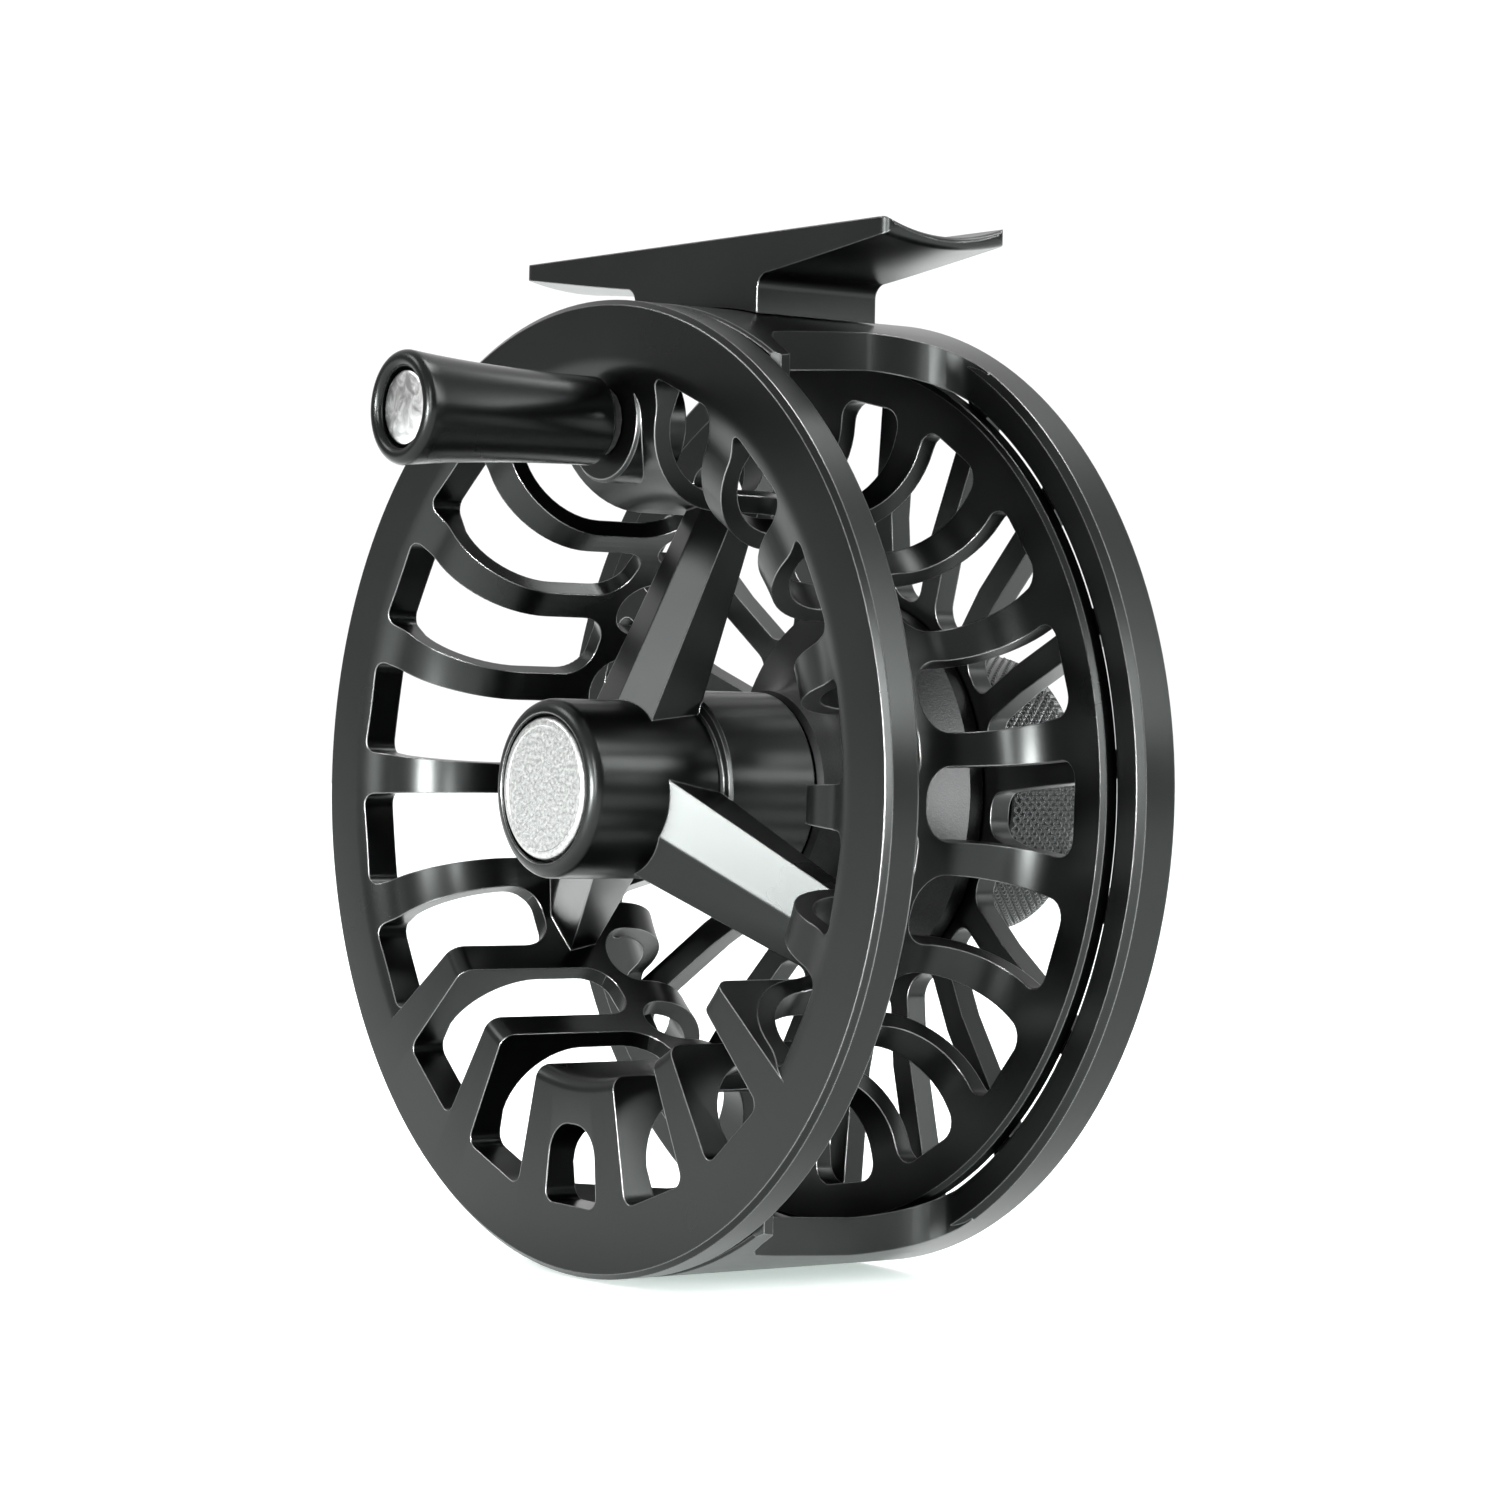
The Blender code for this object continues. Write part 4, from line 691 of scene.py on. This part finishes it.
frame_front = 4.6 * MM
bar_half = 16 * MM
bar_front_half = 18.5 * MM
lip_half = 25 * MM
bar_fillet = 9 * MM
lip_rear = frame_front + 2.2 * MM
flare = lip_half - bar_front_half
side = [(lip_half - 0.8 * MM, frame_front), (lip_half, frame_front + 0.8 * MM), (lip_half - 0.4 * MM, lip_rear)]
side += [(bar_front_half + 0.62 * flare, lip_rear + 0.2 * MM)]
side += [(bar_front_half + 0.3 * flare, lip_rear + 0.8 * MM)]
side += [(bar_front_half + 0.08 * flare, lip_rear + 0.32 * flare)]
side += [(bar_front_half - 0.2 * MM, lip_rear + 0.7 * flare)]
side += arc((bar_half + bar_fillet, ring_front + 0.5 * MM - bar_fillet), bar_fillet, math.pi, math.pi / 2, 16)
side += [(bar_half + bar_fillet, ring_front + 2.5 * MM)]
both_sides = side + [(-across, depth) for across, depth in reversed(side)]
stencil = outline_block("crossbar_stencil", both_sides, -60 * MM, 60 * MM)
sleeve = [(frame_inner, frame_front), (frame_radius - 0.3 * MM, frame_front)]
sleeve += [(frame_radius, frame_front + 0.3 * MM), (frame_radius, ring_front + 1 * MM)]
sleeve += [(frame_inner, ring_front + 1 * MM)]
crossbars = solid("crossbars", turn_profile(sleeve, frame_steps))
machine(crossbars, "INTERSECT", stencil)
machine(frame_body, "UNION", dished)
machine(frame_body, "UNION", crossbars)
frame_black = black_metal("frame_anodising", tint=(0.024, 0.0257, 0.025), roughness=0.31)
finish_piece(frame_body, "frame", ["frame"], frame_black)

# ------------------------------------------------------------------ foot
# The machined foot that the hoods of the rod's reel seat grip: a saddle that thins towards both tips, on a stem
# that sits on the upper crossbar. It is anodised with the frame.

foot_length = 64 * MM
foot_width = 15.4 * MM
foot_centre = 20.6 * MM
foot_edge = 57.1 * MM
foot_saddle = 1.4 * MM
foot_root = 53 * MM
foot_tip = 1.2 * MM
foot_corner = 1.2 * MM
tip_round = 0.8 * MM
stem_half = 10.8 * MM
stem_low = 47 * MM
stem_fillet = 1.6 * MM
crossbar_seat = 50.15 * MM
valley = foot_edge - foot_saddle
wing_start = stem_half + stem_fillet
wing = [1 - (1 - step / 30) ** 2.4 for step in range(31)]
stations = [wing_start + (foot_length / 2 - wing_start) * share for share in wing]


def foot_under(x):
    """Height of a wing's underside at its middle: it thins evenly towards the tip."""
    share = (x - wing_start) / (foot_length / 2 - wing_start)
    return foot_root + (valley - foot_tip - foot_root) * share**1.1


side_line = [(x, foot_under(x)) for x in reversed(stations)]
fillet = arc((stem_half + stem_fillet, foot_root - stem_fillet), stem_fillet, math.pi / 2, math.pi, 8)
side_line += fillet[1:] + [(stem_half, stem_low)]
top_line = [(x, foot_edge) for x in stations]
outline = top_line + side_line
outline += [(-x, z) for x, z in reversed(side_line)] + [(-x, z) for x, z in reversed(top_line)]
foot_bm = bmesh.new()
side_face = foot_bm.faces.new([foot_bm.verts.new((x, -1, z)) for x, z in outline])
grown = bmesh.ops.extrude_face_region(foot_bm, geom=[side_face])
moved = [item for item in grown["geom"] if isinstance(item, bmesh.types.BMVert)]
bmesh.ops.translate(foot_bm, verts=moved, vec=(0, 2, 0))
cuts = [((0, -1 + step / 14, 0), (0, 1, 0)) for step in range(1, 28)]
cuts += [((sign * x, 0, 0), (1, 0, 0)) for x in stations[:-1] + [stem_half] for sign in (-1, 1)]
for place, facing in cuts:
    geometry = foot_bm.verts[:] + foot_bm.edges[:] + foot_bm.faces[:]
    bmesh.ops.bisect_plane(foot_bm, geom=geometry, dist=1e-7, plane_co=place, plane_no=facing)
for vert in foot_bm.verts:
    x, across, z = vert.co
    into_corner = max(0, (abs(x) - foot_length / 2 + foot_corner) / foot_corner)
    narrowing = 1 - foot_corner / (foot_width / 2) * (1 - math.sqrt(1 - min(1, into_corner) ** 2))
    along = max(0, (abs(x) - wing_start) / (foot_length / 2 - wing_start))
    top = valley + foot_saddle * across**2
    under = z + 0.7 * foot_saddle * across**2 * along
    if along > 0:
        under = foot_under(abs(x)) + 0.7 * foot_saddle * across**2 * along
    end = max(0, (abs(x) - foot_length / 2 + tip_round) / tip_round)
    middle = (top + under) / 2
    height = top if z > foot_edge - 1e-6 else under
    vert.co.z = middle + (height - middle) * math.sqrt(max(0.01, 1 - end**2))
    vert.co.y = foot_centre + across * narrowing * foot_width / 2
bmesh.ops.recalc_face_normals(foot_bm, faces=foot_bm.faces)
foot = solid("foot_saddle", foot_bm)
saddle_cut = [(0, -10 * MM), (crossbar_seat, -10 * MM), (crossbar_seat, 60 * MM), (0, 60 * MM)]
machine(foot, "DIFFERENCE", solid("crossbar_seat", turn_profile(saddle_cut, frame_steps, closed=False)))
foot_black = black_metal("foot_anodising", roughness=0.31)
finish_piece(foot, "frame", ["reel_foot"], foot_black)

# ------------------------------------------------------------------ drag housing
# The bead-blasted housing of the disc drag, in dark grey: a neck behind the spool's hub that opens like a
# trumpet to the flange screwed to the frame, and a barrel behind it that the cover closes.

housing_flange = 20.6 * MM
housing_neck = 10.6 * MM
flange_rear = dish_back - 0.3 * MM
flange_front = flange_rear - 1.7 * MM
flare_start = 24.5 * MM
neck_front = 22.5 * MM
barrel_radius = 16.2 * MM
barrel_rear = 41 * MM
cover_seat = 13.75 * MM
cover_floor = 38.65 * MM
stack_bore = 12.3 * MM
stack_floor = 31.1 * MM
spindle_bore = 5.7 * MM
neck_wall_front = 30.15 * MM
drag_bearing_seat = 8.85 * MM
housing = [(housing_neck - 0.5 * MM, neck_front), (housing_neck, neck_front + 0.5 * MM)]
for step in range(25):
    share = step / 24
    radius = housing_neck + (housing_flange - housing_neck) * share**2.3
    housing.append((radius, flare_start + (flange_front - flare_start) * share))
housing += [(housing_flange, flange_rear), (barrel_radius, flange_rear)]
housing += [(barrel_radius, barrel_rear - 0.5 * MM), (barrel_radius - 0.5 * MM, barrel_rear)]
housing += [(cover_seat, barrel_rear), (cover_seat, cover_floor), (stack_bore, cover_floor)]
housing += [(stack_bore, stack_floor), (spindle_bore, stack_floor), (spindle_bore, neck_wall_front)]
housing += [(drag_bearing_seat, neck_wall_front), (drag_bearing_seat, neck_front)]
housing_piece = solid("housing_shell", turn_profile(housing, 120))
grey_blasted = bare_metal("grey_blasted", (0.02, 0.0205, 0.0205), 0.46, 0.5, 5200, bright=1.12, dark=0.85)
finish_piece(housing_piece, "frame", ["drag_housing"], grey_blasted)

# ------------------------------------------------------------------ drag knob
# The black anodised knob that sets the drag: a smooth collar and a wide grip with a diamond knurl. A plain cap
# closes its middle.

knob_radius = 15.3 * MM
collar_radius = 14.4 * MM
knob_front = 41.3 * MM
grip_front = 45 * MM
grip_rear = 53.9 * MM
knob_rear = 54.7 * MM
knurl_depth = 0.4 * MM
knurl_around = 90
knurl_grain = 6
knurl_pitch = 2 * math.pi * knob_radius / knurl_around
knurl_step = knurl_pitch / knurl_grain
knurl_rows = round((grip_rear - grip_front - 0.6 * MM) / knurl_step)
knurl_start = grip_front + 0.3 * MM
knurl_end = knurl_start + knurl_rows * knurl_step
knurl_fade = 0.5 * MM
nut_seat = 8.55 * MM
web_front = 46.4 * MM
web_rear = 48.8 * MM
well_radius = 8.2 * MM
cap_seat_radius = 10 * MM
cap_seat_floor = 52.6 * MM
spindle_hole = 3.09 * MM
knob = [(nut_seat, web_front), (nut_seat, knob_front), (collar_radius - 0.4 * MM, knob_front)]
knob += [(collar_radius, knob_front + 0.4 * MM), (collar_radius, grip_front - 0.4 * MM)]
knob += [(knob_radius - 0.45 * MM, grip_front - 0.1 * MM), (knob_radius - 0.3 * MM, grip_front + 0.15 * MM)]
for row in range(knurl_rows + 1):
    knob.append((knob_radius, knurl_start + row * knurl_pitch / knurl_grain))
knob += [(knob_radius - 0.35 * MM, knob_rear - 0.35 * MM), (knob_radius - 0.9 * MM, knob_rear)]
knob += [(cap_seat_radius, knob_rear), (cap_seat_radius, cap_seat_floor), (well_radius, cap_seat_floor)]
knob += [(well_radius, web_rear), (spindle_hole, web_rear), (spindle_hole, web_front)]
knob_bm = turn_profile(knob, knurl_around * knurl_grain)
for vert in knob_bm.verts:
    radius = math.hypot(vert.co.x, vert.co.z)
    if radius < knob_radius - 1e-6:
        continue
    around = math.atan2(vert.co.z, vert.co.x) / (2 * math.pi) * knurl_around
    along = (vert.co.y - knurl_start) / knurl_pitch
    first, second = ((around + along) % 1, (around - along) % 1)
    groove = min(abs(first - 0.5), abs(second - 0.5)) * 2
    edge_fade = min(1, (vert.co.y - knurl_start) / knurl_fade, (knurl_end - vert.co.y) / knurl_fade)
    sink = knurl_depth * max(0, 1 - 1.25 * groove) + (1 - edge_fade) * 0.1 * MM
    vert.co.x *= (radius - sink) / radius
    vert.co.z *= (radius - sink) / radius
knob_piece = solid("knob_grip", knob_bm)
knob_black = black_metal("knob_anodising", tint=(0.045, 0.048, 0.047), roughness=0.28, edge_width=0.06 * MM)
finish_piece(knob_piece, "drag_knob", ["drag_knob"], knob_black, sharp=25)

cover_radius = 9.7 * MM
cover_front = 52.9 * MM
cover_rear = 54.6 * MM
cover_round = 0.4 * MM
cover = [(0, cover_front), (cover_radius, cover_front), (cover_radius, cover_rear - cover_round)]
cover += arc((cover_radius - cover_round, cover_rear - cover_round), cover_round, 0, math.pi / 2, 4)[1:]
cover += [(6 * MM, cover_rear), (5.6 * MM, cover_rear - 0.35 * MM), (0, cover_rear - 0.35 * MM)]
knob_cap = solid("knob_cap_face", turn_profile(cover, 96, closed=False))
finish_piece(knob_cap, "drag_knob", ["knob_cap"], black_metal("cap_anodising", roughness=0.3))

# ------------------------------------------------------------------ inner pieces
# The pieces that the spool, housing and knob hide keep the shapes they came with. Each kind has its own metal,
# carbon or rubber, for the reel taken apart and for what shows through the gaps.


def dull_solid(name, tone, roughness, scale, relief, weave=False):
    """Rubber, acetal or carbon: a dull solid with a fine mottle, or a woven check for the carbon."""
    material = bpy.data.materials.new(name)
    material.use_nodes = True
    nodes = material.node_tree.nodes
    links = material.node_tree.links
    shader = nodes["Principled BSDF"]
    shader.inputs["Roughness"].default_value = roughness
    place = nodes.new("ShaderNodeTexCoord")
    pattern = nodes.new("ShaderNodeTexChecker" if weave else "ShaderNodeTexNoise")
    pattern.inputs["Scale"].default_value = scale
    links.new(place.outputs["Object"], pattern.inputs["Vector"])
    shade = nodes.new("ShaderNodeMapRange")
    shade.inputs["To Min"].default_value = 0.6
    shade.inputs["To Max"].default_value = 1.4
    links.new(pattern.outputs["Fac"], shade.inputs["Value"])
    colour = nodes.new("ShaderNodeMix")
    colour.data_type = "RGBA"
    colour.blend_type = "MULTIPLY"
    colour.inputs["Factor"].default_value = 1
    colour.inputs["A"].default_value = (*tone, 1)
    links.new(shade.outputs["Result"], colour.inputs["B"])
    links.new(colour.outputs["Result"], shader.inputs["Base Color"])
    bump = nodes.new("ShaderNodeBump")
    bump.inputs["Strength"].default_value = relief
    bump.inputs["Distance"].default_value = 0.02 * MM
    links.new(pattern.outputs["Fac"], bump.inputs["Height"])
    links.new(bump.outputs["Normal"], shader.inputs["Normal"])
    return material


inner_finishes = {
    "stainless_steel": bare_metal("turned_steel", (0.55, 0.55, 0.56), 0.3, 0.3, 900, streak=2),
    "blasted_aluminium": bare_metal("blasted_cover", (0.42, 0.42, 0.43), 0.45, 0.6, 2800),
    "brass": bare_metal("turned_brass", (0.62, 0.43, 0.17), 0.28, 0.3, 900, streak=2),
    "carbon_disc": dull_solid("carbon_weave", (0.02, 0.02, 0.022), 0.45, 700, 0.4, weave=True),
    "seal_rubber": dull_solid("seal_rubber", (0.022, 0.022, 0.022), 0.65, 1500, 0.3),
    "acetal_bushing": dull_solid("white_acetal", (0.74, 0.73, 0.69), 0.4, 1200, 0.15),
    "gloss_black": gloss_black,
    "black_anodised": spool_black,
}
shown_by = {entry["node"]: entry["material_slot"] for entry in frame["record"]["subparts"]}
for name, node in frame["nodes"].items():
    node.data.materials.clear()
    node.data.materials.append(inner_finishes[shown_by[name]])
